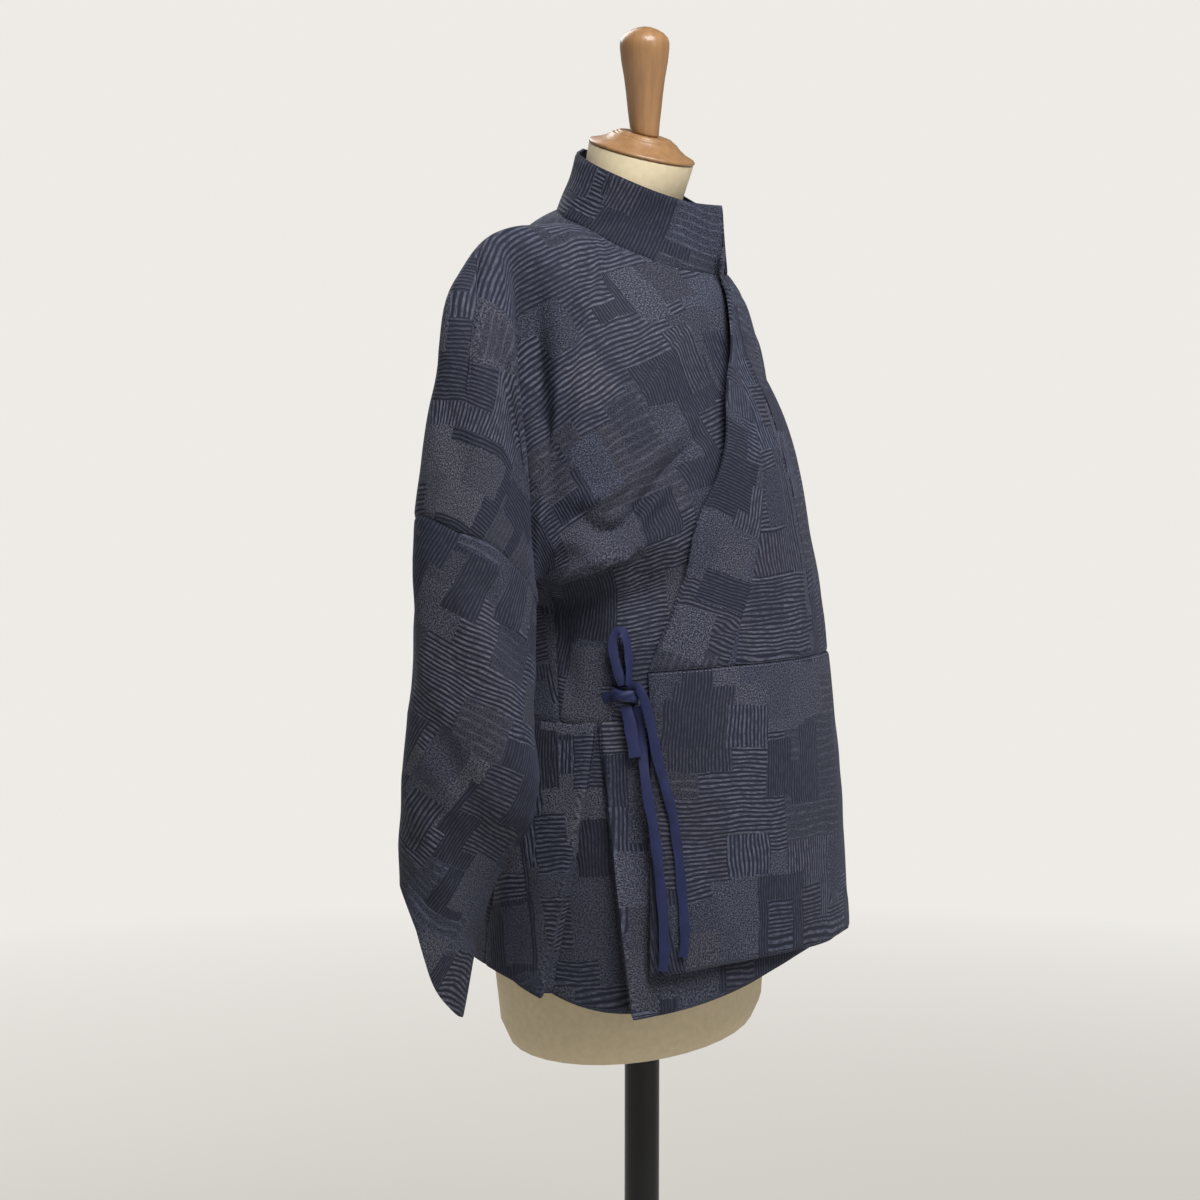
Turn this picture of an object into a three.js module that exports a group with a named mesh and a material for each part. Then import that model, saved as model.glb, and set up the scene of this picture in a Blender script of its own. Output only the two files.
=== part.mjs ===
// A hanfu-style wrap jacket with a stand collar, shown on a limbless dress form.
// Units are millimetres.  +Z is up and the garment faces -Y, so the wearer's right is -X.
// The origin is the centre of the underside of the stand's base.
//
// The cloth is cut from one description: a table of sections for the wearer's right half,
// read by sectionPoint().  The left half mirrors it, and the overlap, the outer peplum and
// the lapel band lie on that half, moved out.  All points are on the cloth's inner face, and
// its wall grows outwards from them.
import * as THREE from 'three';

// ---------------------------------------------------------------- driving dimensions
const CLOTH = 2.0;              // wall of the jacquard
const SEAM = 0.3;               // gap between two pieces at a seam
const COLLAR_INSET = 0.4;       // the collar stands this far off the neckline, which turns sharply
const LAYER = 5.0;              // how far the lapped front lies off the front under it
const RIBBON_WALL = 1.0;        // tie ribbon
const TIE_WIDTH = 11;

const CAP_TILT = 14.5;          // degrees, the neck leans forward
const NECK_RADIUS = 47.5;
const NECK_TOP = { x: 0, y: 2.5, z: 1471 };
const TORSO_BOTTOM_Z = 682;
const POLE_RADIUS = 16;
const BASE_RADIUS = 185;
const BASE_HEIGHT = 22;

const COLORS = {
  jacquard: 0x2b2f42,
  ribbon: 0x2c3468,
  linen: 0xe4dcc6,
  wood: 0xa8794e,
  paint: 0x2a2a2c,
};

// ---------------------------------------------------------------- the right half's sections
// The sections run up the body from the waist, turn around the underarm like a fan, and go
// down the sleeve to its joining seam.  Each row holds seven points [x, y, z]:
//   front   the centre-front edge, then the neckline, then the shoulder line
//   frontA  the handle that shapes the cloth as it leaves that edge
//   frontB  the handle that shapes it as it reaches the seam
//   seam    the side seam, then the underarm, then the seam under the sleeve
//   backB, backA, back   the same on the back
const BODY = [
  { // waist
    front: [0, -160, 1030], frontA: [-97, -160, 1026], frontB: [-173, -88, 991], seam: [-173, 0, 991],
    backB: [-173, 70, 991], backA: [-97, 128, 991], back: [0, 128, 991] },
  { // between waist and underarm
    front: [0, -153, 1085], frontA: [-93, -153, 1078], frontB: [-167, -82, 1045], seam: [-167, 5, 1042],
    backB: [-167, 70, 1045], backA: [-95, 126, 1060], back: [0, 126, 1066] },
  { // just under the fold of the underarm
    front: [0, -144, 1140], frontA: [-92, -143, 1128], frontB: [-163, -72, 1096], seam: [-163, 10, 1086],
    backB: [-163, 66, 1094], backA: [-94, 123, 1125], back: [0, 123, 1140] },
  { // the fold of the underarm
    front: [0, -132, 1195], frontA: [-93, -129, 1190], frontB: [-224, -58, 1134], seam: [-170, 12, 1104],
    backB: [-206, 88, 1118], backA: [-98, 124, 1185], back: [0, 119, 1215] },
  { // bust
    front: [0, -116, 1245], frontA: [-83, -111, 1240], frontB: [-213, -74, 1158], seam: [-178, 13, 1110],
    backB: [-218, 104, 1158], backA: [-102, 126, 1262], back: [0, 114, 1290] },
  { // upper chest
    front: [0, -91, 1300], frontA: [-72, -83, 1292], frontB: [-208, -72, 1200], seam: [-183, 13, 1113],
    backB: [-224, 112, 1200], backA: [-104, 122, 1330], back: [0, 98, 1365] },
  { // neckline at the centre front and centre back
    front: [0, -75, 1361], frontA: [-66, -74, 1336], frontB: [-204, -60, 1242], seam: [-187, 13, 1114],
    backB: [-226, 114, 1238], backA: [-98, 112, 1385], back: [0, 73, 1421] },
  { // neckline, a third of the way to the neck point
    front: [-45, -48, 1372], frontA: [-86, -60, 1330], frontB: [-201, -47, 1262], seam: [-190, 13, 1114],
    backB: [-227, 113, 1268], backA: [-102, 104, 1402], back: [-38, 66, 1420] },
  { // neckline, two thirds of the way
    front: [-70, -5, 1391], frontA: [-112, -36, 1346], frontB: [-198, -28, 1282], seam: [-193, 13, 1114],
    backB: [-228, 111, 1288], backA: [-112, 98, 1408], back: [-64, 48, 1415] },
  { // neck point: from here the cloth runs over the shoulder with no seam
    front: [-74, 24, 1406], frontA: [-116, -24, 1392], frontB: [-195, -18, 1292], seam: [-195, 13, 1114],
    backB: [-229, 109, 1300], backA: [-108, 84, 1410], back: [-74, 24, 1406] },
  { // middle of the shoulder
    front: [-112, 34, 1410], frontA: [-142, -16, 1407], frontB: [-192, -4, 1302], seam: [-197, 13, 1113],
    backB: [-230, 106, 1305], backA: [-132, 86, 1409], back: [-112, 34, 1410] },
  { // outer shoulder
    front: [-152, 42, 1410], frontA: [-172, 2, 1407], frontB: [-182, 22, 1290], seam: [-199, 13, 1112],
    backB: [-229, 94, 1300], backA: [-166, 88, 1406], back: [-152, 42, 1410] },
  { // the valley between the body and the sleeve
    front: [-182, 48, 1406], frontA: [-186, 32, 1398], frontB: [-174, 46, 1238], seam: [-201, 13, 1110],
    backB: [-226, 78, 1270], backA: [-196, 84, 1398], back: [-182, 48, 1406] },
  { // the front edge that stands out of the valley
    front: [-206, 55, 1393], frontA: [-228, 12, 1386], frontB: [-243, 6, 1232], seam: [-203, 13, 1107],
    backB: [-240, 70, 1240], backA: [-222, 82, 1386], back: [-206, 55, 1393] },
];

// The sleeve as rings of four points: outer (the shoulder line), front, inner (the seam under
// the sleeve) and back.  The fourth ring is the joining seam; the last is the cuff.
const SLEEVE = [
  { outer: [-238, 44, 1350], front: [-232, 12, 1240], inner: [-205, 13, 1103], back: [-243, 66, 1270] },
  { outer: [-262, 38, 1290], front: [-236, 8, 1188], inner: [-206, 14, 1100], back: [-250, 71, 1222] },
  { outer: [-277, 36, 1225], front: [-239, 4, 1152], inner: [-207, 15, 1096], back: [-257, 77, 1190] },
  { outer: [-288, 36, 1166], front: [-242, 2, 1127], inner: [-207, 18, 1090], back: [-262, 81, 1160] },
  { outer: [-295, 35, 1112], front: [-246, -3, 1062], inner: [-209, 27, 1062], back: [-267, 82, 1112] },
  { outer: [-299, 34, 1052], front: [-249, -7, 1004], inner: [-212, 38, 1000], back: [-270, 85, 1054] },
  { outer: [-301, 33, 1004], front: [-250, -13, 962], inner: [-213, 36, 958], back: [-270, 88, 1006] },
  { outer: [-302, 40, 962], front: [-252, -7, 926], inner: [-214, 42, 920], back: [-269, 93, 966] },
  { outer: [-300, 50, 925], front: [-253, 25, 884], inner: [-216, 52, 878], back: [-268, 96, 930] },
  { outer: [-298, 62, 882], front: [-255, 46, 828], inner: [-220, 64, 826], back: [-267, 99, 892] },
  { outer: [-296, 72, 836], front: [-257, 61, 754], inner: [-226, 76, 764], back: [-266, 98, 852] },
];

// The hem of the peplum, with the columns of a BODY row.
const HEM = {
  front: [0, -177, 782], frontA: [-108, -177, 780], frontB: [-199, -104, 712], seam: [-199, 6, 758],
  backB: [-199, 84, 784], backA: [-110, 146, 766], back: [0, 146, 762],
};

// One side pleat: rows across it, from front to back.  `top` and `hem` are places around the
// half (0 centre front, 1 side seam, 2 centre back); `out` is how far the cloth stands off
// the plain peplum at the hem.  Where `hem` turns back, the cloth folds.
const PLEAT = [
  { top: 0.80, hem: 0.60, out: 0 },
  { top: 0.825, hem: 0.67, out: 2 },
  { top: 0.85, hem: 0.735, out: 10 },
  { top: 0.855, hem: 0.725, out: -2 },
  { top: 0.857, hem: 0.74, out: -11 },
  { top: 0.862, hem: 0.82, out: -9 },
  { top: 0.867, hem: 0.90, out: -10 },
  { top: 0.872, hem: 0.985, out: -12 },
  { top: 0.874, hem: 1.0, out: -3 },
  { top: 0.88, hem: 0.99, out: 9 },
  { top: 0.92, hem: 1.06, out: 5 },
  { top: 1.0, hem: 1.12, out: 0 },
];
const PLEAT_OPENING = 0.8;      // power of the way down by which the pleat opens
const PEPLUM_SEAM = 1.2;        // where the front peplum meets the back one, around the half

// The lapped front's free edge: `row` counts BODY rows up from the waist, `place` is where
// the edge crosses that section (0 centre front, 1 side seam), `lift` is how far it stands
// off the cloth beneath, and `band` is the width of the lapel band there, as a place too.
const LAP_EDGE = [
  { row: 0.75, place: 0.69, lift: 5, band: 0.30 },
  { row: 1.0, place: 0.66, lift: 5, band: 0.30 },
  { row: 1.5, place: 0.60, lift: 5, band: 0.30 },
  { row: 2.0, place: 0.545, lift: 6, band: 0.30 },
  { row: 2.5, place: 0.475, lift: 7, band: 0.29 },
  { row: 3.0, place: 0.40, lift: 8, band: 0.26 },
  { row: 3.5, place: 0.335, lift: 10, band: 0.21 },
  { row: 4.0, place: 0.285, lift: 13, band: 0.17 },
  { row: 4.5, place: 0.235, lift: 16, band: 0.13 },
  { row: 5.0, place: 0.155, lift: 15, band: 0.09 },
  { row: 5.5, place: 0.085, lift: 10, band: 0.055 },
  { row: 6.0, place: 0.045, lift: 6, band: 0.03 },
];
const LAP_SEAM_LEAST = 0.35;    // the band's seam stays at least this share of the way to the edge
const LAP_CORNER_RISE = 27;     // the lap's free corner stands this far above the neck seam
const LAP_CORNER_LEAN = 2;      // and leans this far forward
const LAP_BLEND = 0.55;         // by this place the left front lies on the right one's mirror image
const LAP_BLEND_ROWS = 1.5;     // and so it does this many rows up the neckline

// Heights of the outer peplum around the half: its seam and its hem.
const OUTER_PEPLUM = [
  { place: -1.2, seam: 991, hem: 760 },
  { place: -1.0, seam: 991, hem: 756 },
  { place: -0.6, seam: 1011, hem: 766 },
  { place: 0.0, seam: 1034, hem: 781 },
  { place: 0.4, seam: 1038, hem: 786 },
  { place: 0.69, seam: 1036, hem: 778 },
];
const OUTER_FLARE = 0.8;        // at its hem it stands this share further off than at its seam
const PEPLUM_BELLY = 3;         // half way down, the peplum rounds out by this much

// The stand collar's top edge, from the centre front to the centre back.
// The left half's edge stands `ahead` of the right one's mirror image and drops below it.
const COLLAR_TOP = [
  { x: 0, y: -74, z: 1426, ahead: -1, drop: 1 },
  { x: -26, y: -59, z: 1429, ahead: 0, drop: 6 },
  { x: -49, y: -30, z: 1440, ahead: 0, drop: 14 },
  { x: -57, y: 8, z: 1456, ahead: 0, drop: 12 },
  { x: -42, y: 44, z: 1470, ahead: 0, drop: 5 },
  { x: 0, y: 59, z: 1475, ahead: 0, drop: 0 },
];

const COLLAR_HOLLOW = 2.5;      // half way up, the collar curves in by this much
const COLLAR_HOLLOW_FADE = 20;  // and less within this distance of the centre front and back
const NECK_MIDDLE_Y = 10;

// The tie.  Each run of ribbon has the name of its node, its width, the way its flat side
// faces, and the points that its middle line passes, from the knot (or a seam) to its end.
const SIDE_FACING = [-0.9, -0.42, 0.12];
const FRONT_FACING = [-0.83, -0.55, 0.1];
const KNOT = { at: [-165.6, -57.8, 1017.6], halfWidth: 7.5, halfHeight: 8.5, halfDepth: 5 };
const TIES = [
  { name: 'tie_loop', width: 8, facing: SIDE_FACING, steps: 20, route: [
    [-167, -56, 1026.2], [-168, -50, 1040], [-168, -44, 1053], [-168, -41, 1063], [-167, -43, 1071],
    [-165, -49, 1074.5], [-163, -56, 1072], [-162, -60, 1062], [-162, -62, 1051], [-163, -62, 1039],
    [-164.9, -60.9, 1026.3]] },
  { name: 'tie_long_front', width: 8.5, facing: FRONT_FACING, steps: 20, route: [
    [-165, -66.5, 1022], [-164, -72, 1018], [-163, -77, 1009], [-163, -80, 998], [-164, -84, 980],
    [-165, -90, 957], [-164, -96, 938], [-163, -101, 919], [-163, -104, 902], [-163, -107, 883],
    [-164, -110, 857], [-165, -113, 831], [-166, -114.5, 807], [-168, -113, 796]] },
  { name: 'tie_short_end', width: 11.5, facing: SIDE_FACING, steps: 6, route: [
    [-166.5, -59, 1008], [-168, -63.5, 995], [-170, -67, 980], [-172, -70.5, 966]] },
  { name: 'tie_long_back', width: TIE_WIDTH, facing: FRONT_FACING, steps: 20, route: [
    [-160.5, -67, 1008], [-161, -70, 994], [-163, -72, 981], [-166, -74.5, 968], [-170, -78.5, 950],
    [-173, -83, 931], [-174, -87, 914], [-174, -90, 898], [-175, -94.5, 866], [-176, -97.5, 843],
    [-177, -99.5, 821], [-178, -101, 799], [-180, -99.5, 785]] },
  { name: 'tie_root_side', width: 7, facing: SIDE_FACING, steps: 3, route: [
    [-167.4, -49, 1016], [-167.4, -43.8, 1015], [-167.8, -38.4, 1014]] },
];

// The dress form: height, half width, depth to the front and to the back, and the middle's y.
const TORSO = [
  { z: TORSO_BOTTOM_Z, wide: 150, front: 100, back: 104, y: 8 },
  { z: 700, wide: 158, front: 108, back: 112, y: 8 },
  { z: 780, wide: 164, front: 112, back: 122, y: 8 },
  { z: 860, wide: 158, front: 108, back: 116, y: 8 },
  { z: 940, wide: 132, front: 98, back: 92, y: 6 },
  { z: 1000, wide: 118, front: 92, back: 82, y: 6 },
  { z: 1070, wide: 124, front: 96, back: 84, y: 6 },
  { z: 1150, wide: 138, front: 104, back: 94, y: 6 },
  { z: 1230, wide: 147, front: 104, back: 98, y: 6 },
  { z: 1290, wide: 154, front: 84, back: 88, y: 14 },
  { z: 1330, wide: 158, front: 66, back: 74, y: 20 },
  { z: 1356, wide: 152, front: 52, back: 62, y: 23 },
  { z: 1374, wide: 130, front: 42, back: 52, y: 24 },
  { z: 1388, wide: 100, front: 36, back: 46, y: 24 },
  { z: 1399, wide: 76, front: 34, back: 42, y: 22 },
  { z: 1408, wide: 62, front: 38, back: 42, y: 19 },
  { z: 1418, wide: 55, front: 43, back: 43, y: 16 },
  { z: 1432, wide: 51, front: 45, back: 45, y: 12 },
];

// ---------------------------------------------------------------- small helpers
const vec = (p) => new THREE.Vector3(p[0], p[1], p[2]);
const COLUMNS = ['front', 'frontA', 'frontB', 'seam', 'backB', 'backA', 'back'];

// A smooth curve through evenly spaced values that never overshoots them.
function smoothAt(values, x) {
  const last = values.length - 1;
  const i = Math.min(Math.max(Math.floor(x), 0), last - 1);
  const t = x - i;
  const slope = (k) => {
    if (k <= 0) return values[1] - values[0];
    if (k >= last) return values[last] - values[last - 1];
    const before = values[k] - values[k - 1];
    const after = values[k + 1] - values[k];
    return before * after <= 0 ? 0 : (2 * before * after) / (before + after);
  };
  const t2 = t * t;
  const t3 = t2 * t;
  return values[i] * (2 * t3 - 3 * t2 + 1) + slope(i) * (t3 - 2 * t2 + t)
    + values[i + 1] * (3 * t2 - 2 * t3) + slope(i + 1) * (t3 - t2);
}

// The value of one column of a table at x, where `key` is the table's own rising scale.
function lookUp(table, key, column, x) {
  const last = table.length - 1;
  let i = 0;
  while (i < last - 1 && table[i + 1][key] < x) i += 1;
  const share = (x - table[i][key]) / (table[i + 1][key] - table[i][key]);
  return smoothAt(table.map((row) => row[column]), i + Math.min(Math.max(share, 0), 1));
}

function bezier(a, b, c, d, t) {
  const s = 1 - t;
  return new THREE.Vector3()
    .addScaledVector(a, s * s * s)
    .addScaledVector(b, 3 * s * s * t)
    .addScaledVector(c, 3 * s * t * t)
    .addScaledVector(d, t * t * t);
}

// A sleeve ring as the seven points of a BODY row.
function ringRow(ring) {
  const outer = vec(ring.outer);
  const inner = vec(ring.inner);
  const middle = outer.clone().add(inner).multiplyScalar(0.5);
  const bulge = (p) => vec(p).sub(middle).multiplyScalar(4 / 3);
  const ahead = bulge(ring.front);
  const behind = bulge(ring.back);
  return [
    outer, outer.clone().add(ahead), inner.clone().add(ahead), inner,
    inner.clone().add(behind), outer.clone().add(behind), outer,
  ];
}

const ROWS = [
  ...BODY.map((row) => COLUMNS.map((name) => vec(row[name]))),
  ...SLEEVE.map(ringRow),
];
const NECK_ROW = 6;
const NECK_POINT_ROW = 9;
const JOINT_ROW = BODY.length + 3;
const CUFF_ROW = ROWS.length - 1;

// The seven points of the section at a place between two rows.  From the neck point on, the
// front edge and the back edge are one line.
function sectionAt(row) {
  const points = COLUMNS.map((_, c) => new THREE.Vector3(
    smoothAt(ROWS.map((cells) => cells[c].x), row),
    smoothAt(ROWS.map((cells) => cells[c].y), row),
    smoothAt(ROWS.map((cells) => cells[c].z), row),
  ));
  if (row >= NECK_POINT_ROW) points[6].copy(points[0]);
  return points;
}

// A point of a section: place 0 is the front edge, 1 the seam, 2 the back edge.
function alongSection(s, place) {
  if (place <= 1) return bezier(s[0], s[1], s[2], s[3], place);
  return bezier(s[6], s[5], s[4], s[3], 2 - place);
}
const hemSection = COLUMNS.map((name) => vec(HEM[name]));
const sectionPoint = (row, place) => alongSection(sectionAt(row), place);

// The outward direction of the cloth there.
function sectionNormal(row, place) {
  const d = 0.02;
  const low = Math.max(row - d, 0);
  const up = sectionPoint(low + 2 * d, place).sub(sectionPoint(low, place));
  const left = Math.max(place - d, 0);
  const round = sectionPoint(row, left + 2 * d).sub(sectionPoint(row, left));
  return up.cross(round).normalize();
}

// ---------------------------------------------------------------- the cloth
// All points of the cloth go into one pool, so that neighbours share the direction in which
// their walls thicken, and their outer faces keep the seam's gap too.
const pool = { points: [], normals: [], index: new Map(), pieces: [] };

function pointId(p) {
  const key = [p.x, p.y, p.z].map((v) => Math.round(v * 50)).join(',');
  if (!pool.index.has(key)) {
    pool.index.set(key, pool.points.length);
    pool.points.push(p.clone());
    pool.normals.push(new THREE.Vector3());
  }
  return pool.index.get(key);
}

// Adds a piece from grids of inner points.  A mirrored grid turns its faces round.
function cutPiece(name, grids, { wall = CLOTH, flip = false, inset = SEAM / 2 } = {}) {
  const faces = [];
  const add = (a, b, c) => {
    if (a !== b && b !== c && c !== a) faces.push(flip ? [a, b, c] : [a, c, b]);
  };
  for (const grid of grids) {
    const ids = grid.map((line) => line.map(pointId));
    for (let i = 0; i + 1 < ids.length; i += 1) {
      for (let j = 0; j + 1 < ids[i].length; j += 1) {
        add(ids[i][j], ids[i][j + 1], ids[i + 1][j + 1]);
        add(ids[i][j], ids[i + 1][j + 1], ids[i + 1][j]);
      }
    }
  }
  pool.pieces.push({ name, faces, wall, inset });
}

function addNormals() {
  const [ab, ac] = [new THREE.Vector3(), new THREE.Vector3()];
  for (const { faces } of pool.pieces) {
    for (const face of faces) {
      const [a, b, c] = face.map((id) => pool.points[id]);
      const normal = ab.subVectors(b, a).cross(ac.subVectors(c, a)).clone();
      for (const id of face) pool.normals[id].add(normal);
    }
  }
  for (const normal of pool.normals) normal.normalize();
}

// The edges that only one face of a piece uses, each as [from, to, inward direction].
function freeEdges(faces) {
  const edges = new Map();
  for (const face of faces) {
    face.forEach((from, k) => {
      const to = face[(k + 1) % 3];
      if (edges.has(`${to},${from}`)) edges.delete(`${to},${from}`);
      else edges.set(`${from},${to}`, [from, to, face[(k + 2) % 3]]);
    });
  }
  return [...edges.values()];
}

// Gives a piece its wall: inner points, outer points and a rim, drawn in by half a seam.
function pieceGeometry({ faces, wall, inset: gap }) {
  const rim = freeEdges(faces);
  const inset = new Map();
  for (const [from, to, third] of rim) {
    const edge = pool.points[to].clone().sub(pool.points[from]).normalize();
    const inward = pool.points[third].clone().sub(pool.points[from]);
    inward.addScaledVector(edge, -inward.dot(edge)).normalize();
    for (const id of [from, to]) {
      if (!inset.has(id)) inset.set(id, new THREE.Vector3());
      inset.get(id).add(inward);
    }
  }
  const ids = [...new Set(faces.flat())];
  const outer = new Map();
  const inner = new Map();
  const xyz = [];
  for (const id of ids) {
    const p = pool.points[id].clone();
    if (inset.has(id)) p.addScaledVector(inset.get(id).normalize(), gap);
    inner.set(id, xyz.length / 3);
    xyz.push(p.x, p.y, p.z);
    p.addScaledVector(pool.normals[id], wall);
    outer.set(id, xyz.length / 3);
    xyz.push(p.x, p.y, p.z);
  }
  const triangles = [];
  for (const [a, b, c] of faces) {
    triangles.push(outer.get(a), outer.get(b), outer.get(c));
    triangles.push(inner.get(a), inner.get(c), inner.get(b));
  }
  for (const [from, to] of rim) {
    triangles.push(outer.get(from), inner.get(from), inner.get(to));
    triangles.push(outer.get(from), inner.get(to), outer.get(to));
  }
  const geometry = new THREE.BufferGeometry();
  geometry.setAttribute('position', new THREE.Float32BufferAttribute(xyz, 3));
  geometry.setIndex(triangles);
  return geometry;
}

const range = (from, to, steps) => Array.from(
  { length: steps + 1 },
  (_, i) => from + ((to - from) * i) / steps,
);
const mirror = (p) => new THREE.Vector3(-p.x, p.y, p.z);

// ---------------------------------------------------------------- bodice and sleeves
const FRONT_PLACES = range(0, 1, 10);
const BACK_PLACES = range(1, 2, 9);
const BODY_ROWS = [
  0, 0.5, 1, 1.5, 2, 2.35, 2.7, 3, 3.5, 4, 4.5, 5, 5.5, 6, 6.5, 7, 7.5, 8, 8.5, 9, 9.5,
  10, 10.5, 11, 11.33, 11.67, 12, 12.25, 12.5, 12.75, 13, 13.33, 13.67, ...range(14, JOINT_ROW, 6),
];
const SLEEVE_ROWS = range(JOINT_ROW, CUFF_ROW, 14);

function bodyGrids(move) {
  const line = (row, places) => {
    const section = sectionAt(row);
    return places.map((place) => move(alongSection(section, place), row, place));
  };
  return [FRONT_PLACES, BACK_PLACES].map((places) => BODY_ROWS.map((row) => line(row, places)));
}
function sleeveGrids(move) {
  const places = [...FRONT_PLACES, ...BACK_PLACES.slice(1)];
  return [SLEEVE_ROWS.map((row) => {
    const section = sectionAt(row);
    return places.map((place) => move(alongSection(section, place)));
  })];
}

// How far the left front stands forward of the right one's mirror image, so that it laps
// over it: all of LAYER at the centre front, nothing at the side and at the neck's side.
function leftOut(place) {
  const across = Math.max(0, 1 - place / LAP_BLEND);
  return LAYER * across * across * (3 - 2 * across);
}
function leftPoint(p, row, place) {
  const up = row <= NECK_ROW ? 1 : Math.max(0, 1 - (row - NECK_ROW) / LAP_BLEND_ROWS);
  const moved = p.clone().addScaledVector(sectionNormal(row, place), leftOut(place) * up);
  return mirror(place === 0 && row <= NECK_ROW ? moved.setX(0) : moved);
}

// The row whose section crosses a place at a given height, between the waist and row 1.
function rowAtHeight(place, z) {
  let [low, high] = [0, 1];
  for (let k = 0; k < 30; k += 1) {
    const middle = (low + high) / 2;
    if (sectionPoint(middle, place).z < z) low = middle;
    else high = middle;
  }
  return low;
}
const outerSeam = (place) => lookUp(OUTER_PEPLUM, 'place', 'seam', place);

// The left front ends at the outer peplum's seam, a little above the right one's waist.
function leftGrids() {
  const [front, back] = bodyGrids(leftPoint);
  front[0] = FRONT_PLACES.map((place) => {
    const row = rowAtHeight(place, outerSeam(-place));
    return leftPoint(sectionPoint(row, place), row, place);
  });
  return [front, back];
}

cutPiece('body_right', bodyGrids((p) => p));
cutPiece('body_left', leftGrids(), { flip: true });
cutPiece('sleeve_right', sleeveGrids((p) => p));
cutPiece('sleeve_left', sleeveGrids(mirror), { flip: true });

// ---------------------------------------------------------------- collar
// It starts on the neckline's own points and rises to the table's top edge.
function collarHalf(flip) {
  const neckRows = BODY_ROWS.filter((row) => row >= NECK_ROW && row <= NECK_POINT_ROW);
  const base = [
    ...neckRows.map((row) => (flip ? leftPoint(sectionPoint(row, 0), row, 0) : sectionPoint(row, 0))),
    ...neckRows.slice(0, -1).reverse().map((row) => {
      const p = sectionPoint(row, 2);
      return flip ? mirror(p) : p;
    }),
  ];
  const last = COLLAR_TOP.length - 1;
  const top = base.map((_, i) => {
    const x = (i / (base.length - 1)) * last;
    const at = (column) => smoothAt(COLLAR_TOP.map((row) => row[column]), x);
    const p = new THREE.Vector3(at('x'), at('y'), at('z'));
    return flip ? mirror(p.add(new THREE.Vector3(0, -at('ahead'), -at('drop')))) : p;
  });
  return range(0, 1, 3).map((share) => base.map((p, i) => {
    const q = p.clone().lerp(top[i], share);
    const fade = Math.min(1, Math.abs(q.x) / COLLAR_HOLLOW_FADE);
    const inwards = new THREE.Vector3(-q.x, NECK_MIDDLE_Y - q.y, 0).normalize();
    return q.addScaledVector(inwards, 4 * share * (1 - share) * COLLAR_HOLLOW * fade);
  }));
}
const collarRight = collarHalf(false);
const collarLeft = collarHalf(true);
cutPiece('collar', [
  collarRight.map((line, i) => [...line, ...collarLeft[i].slice(0, -1).reverse()]),
], { inset: COLLAR_INSET });

// ---------------------------------------------------------------- lapped front
// A point of the lap: the right front's own point, moved out more and more towards the edge.
function lapPoint(row, place) {
  const share = place / lookUp(LAP_EDGE, 'row', 'place', row);
  const lift = lookUp(LAP_EDGE, 'row', 'lift', row);
  const out = LAYER + (lift - LAYER) * share * share;
  const q = sectionPoint(row, place).addScaledVector(sectionNormal(row, place), out);
  return place === 0 ? q.setX(0) : q;
}

// The lap between two of its lines: the centre front, the band's seam and the free edge.
function lapGrid(fromLine, toLine, columns) {
  const places = (row) => {
    const edge = lookUp(LAP_EDGE, 'row', 'place', row);
    const band = lookUp(LAP_EDGE, 'row', 'band', row);
    const lines = { centre: 0, seam: Math.max(edge - band, edge * LAP_SEAM_LEAST), edge };
    return range(lines[fromLine], lines[toLine], columns);
  };
  const rows = BODY_ROWS.filter((row) => row >= 1 && row <= NECK_ROW);
  const bottom = places(LAP_EDGE[0].row)
    .map((place) => lapPoint(rowAtHeight(place, outerSeam(place)), place));
  const grid = [bottom, ...rows.map((row) => places(row).map((place) => lapPoint(row, place)))];
  if (toLine !== 'edge') return grid;
  const corner = (share) => grid[rows.length].map((p) => new THREE.Vector3(
    p.x, p.y - LAP_CORNER_LEAN * share, p.z + LAP_CORNER_RISE * share,
  ));
  return [...grid, corner(0.5), corner(1)];
}
cutPiece('overlap_front', [lapGrid('centre', 'seam', 7)]);
cutPiece('overlap_band', [lapGrid('seam', 'edge', 3)]);

// ---------------------------------------------------------------- peplum
// Where a place around the half lies at the hem and how far it stands out there.
function pleatAt(place) {
  const [first, last] = [PLEAT[0], PLEAT[PLEAT.length - 1]];
  if (place <= first.top) return { hem: (place / first.top) * first.hem, out: 0 };
  if (place >= last.top) {
    return { hem: last.hem + ((place - last.top) / (2 - last.top)) * (2 - last.hem), out: 0 };
  }
  let i = 0;
  while (PLEAT[i + 1].top < place) i += 1;
  const t = (place - PLEAT[i].top) / (PLEAT[i + 1].top - PLEAT[i].top);
  return {
    hem: PLEAT[i].hem + t * (PLEAT[i + 1].hem - PLEAT[i].hem),
    out: PLEAT[i].out + t * (PLEAT[i + 1].out - PLEAT[i].out),
  };
}
const DOWN = [0, 0.14, 0.3, 0.47, 0.65, 0.83, 1];

// The peplum with no pleat: `down` is 0 at the waist seam and 1 at the hem.
function plainPeplum(place, down) {
  const a = alongSection(ROWS[0], place);
  const round = new THREE.Vector3(a.x, a.y, 0).normalize();
  const belly = PEPLUM_BELLY * Math.sin(Math.PI * down);
  return a.lerp(alongSection(hemSection, place), down).addScaledVector(round, belly);
}
function peplumPoint(place, down) {
  const { hem, out } = pleatAt(place);
  const t = place + (hem - place) * down;
  const p = plainPeplum(t, down);
  const d = 0.01;
  const along = plainPeplum(Math.min(t + d, 2), down).sub(plainPeplum(Math.max(t - d, 0), down));
  const outward = new THREE.Vector3(along.y, -along.x, 0).normalize();
  if (place >= 2) outward.set(0, 1, 0);
  if (place <= 0) outward.set(0, -1, 0);
  return p.addScaledVector(outward, -out * Math.pow(down, PLEAT_OPENING));
}
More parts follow.
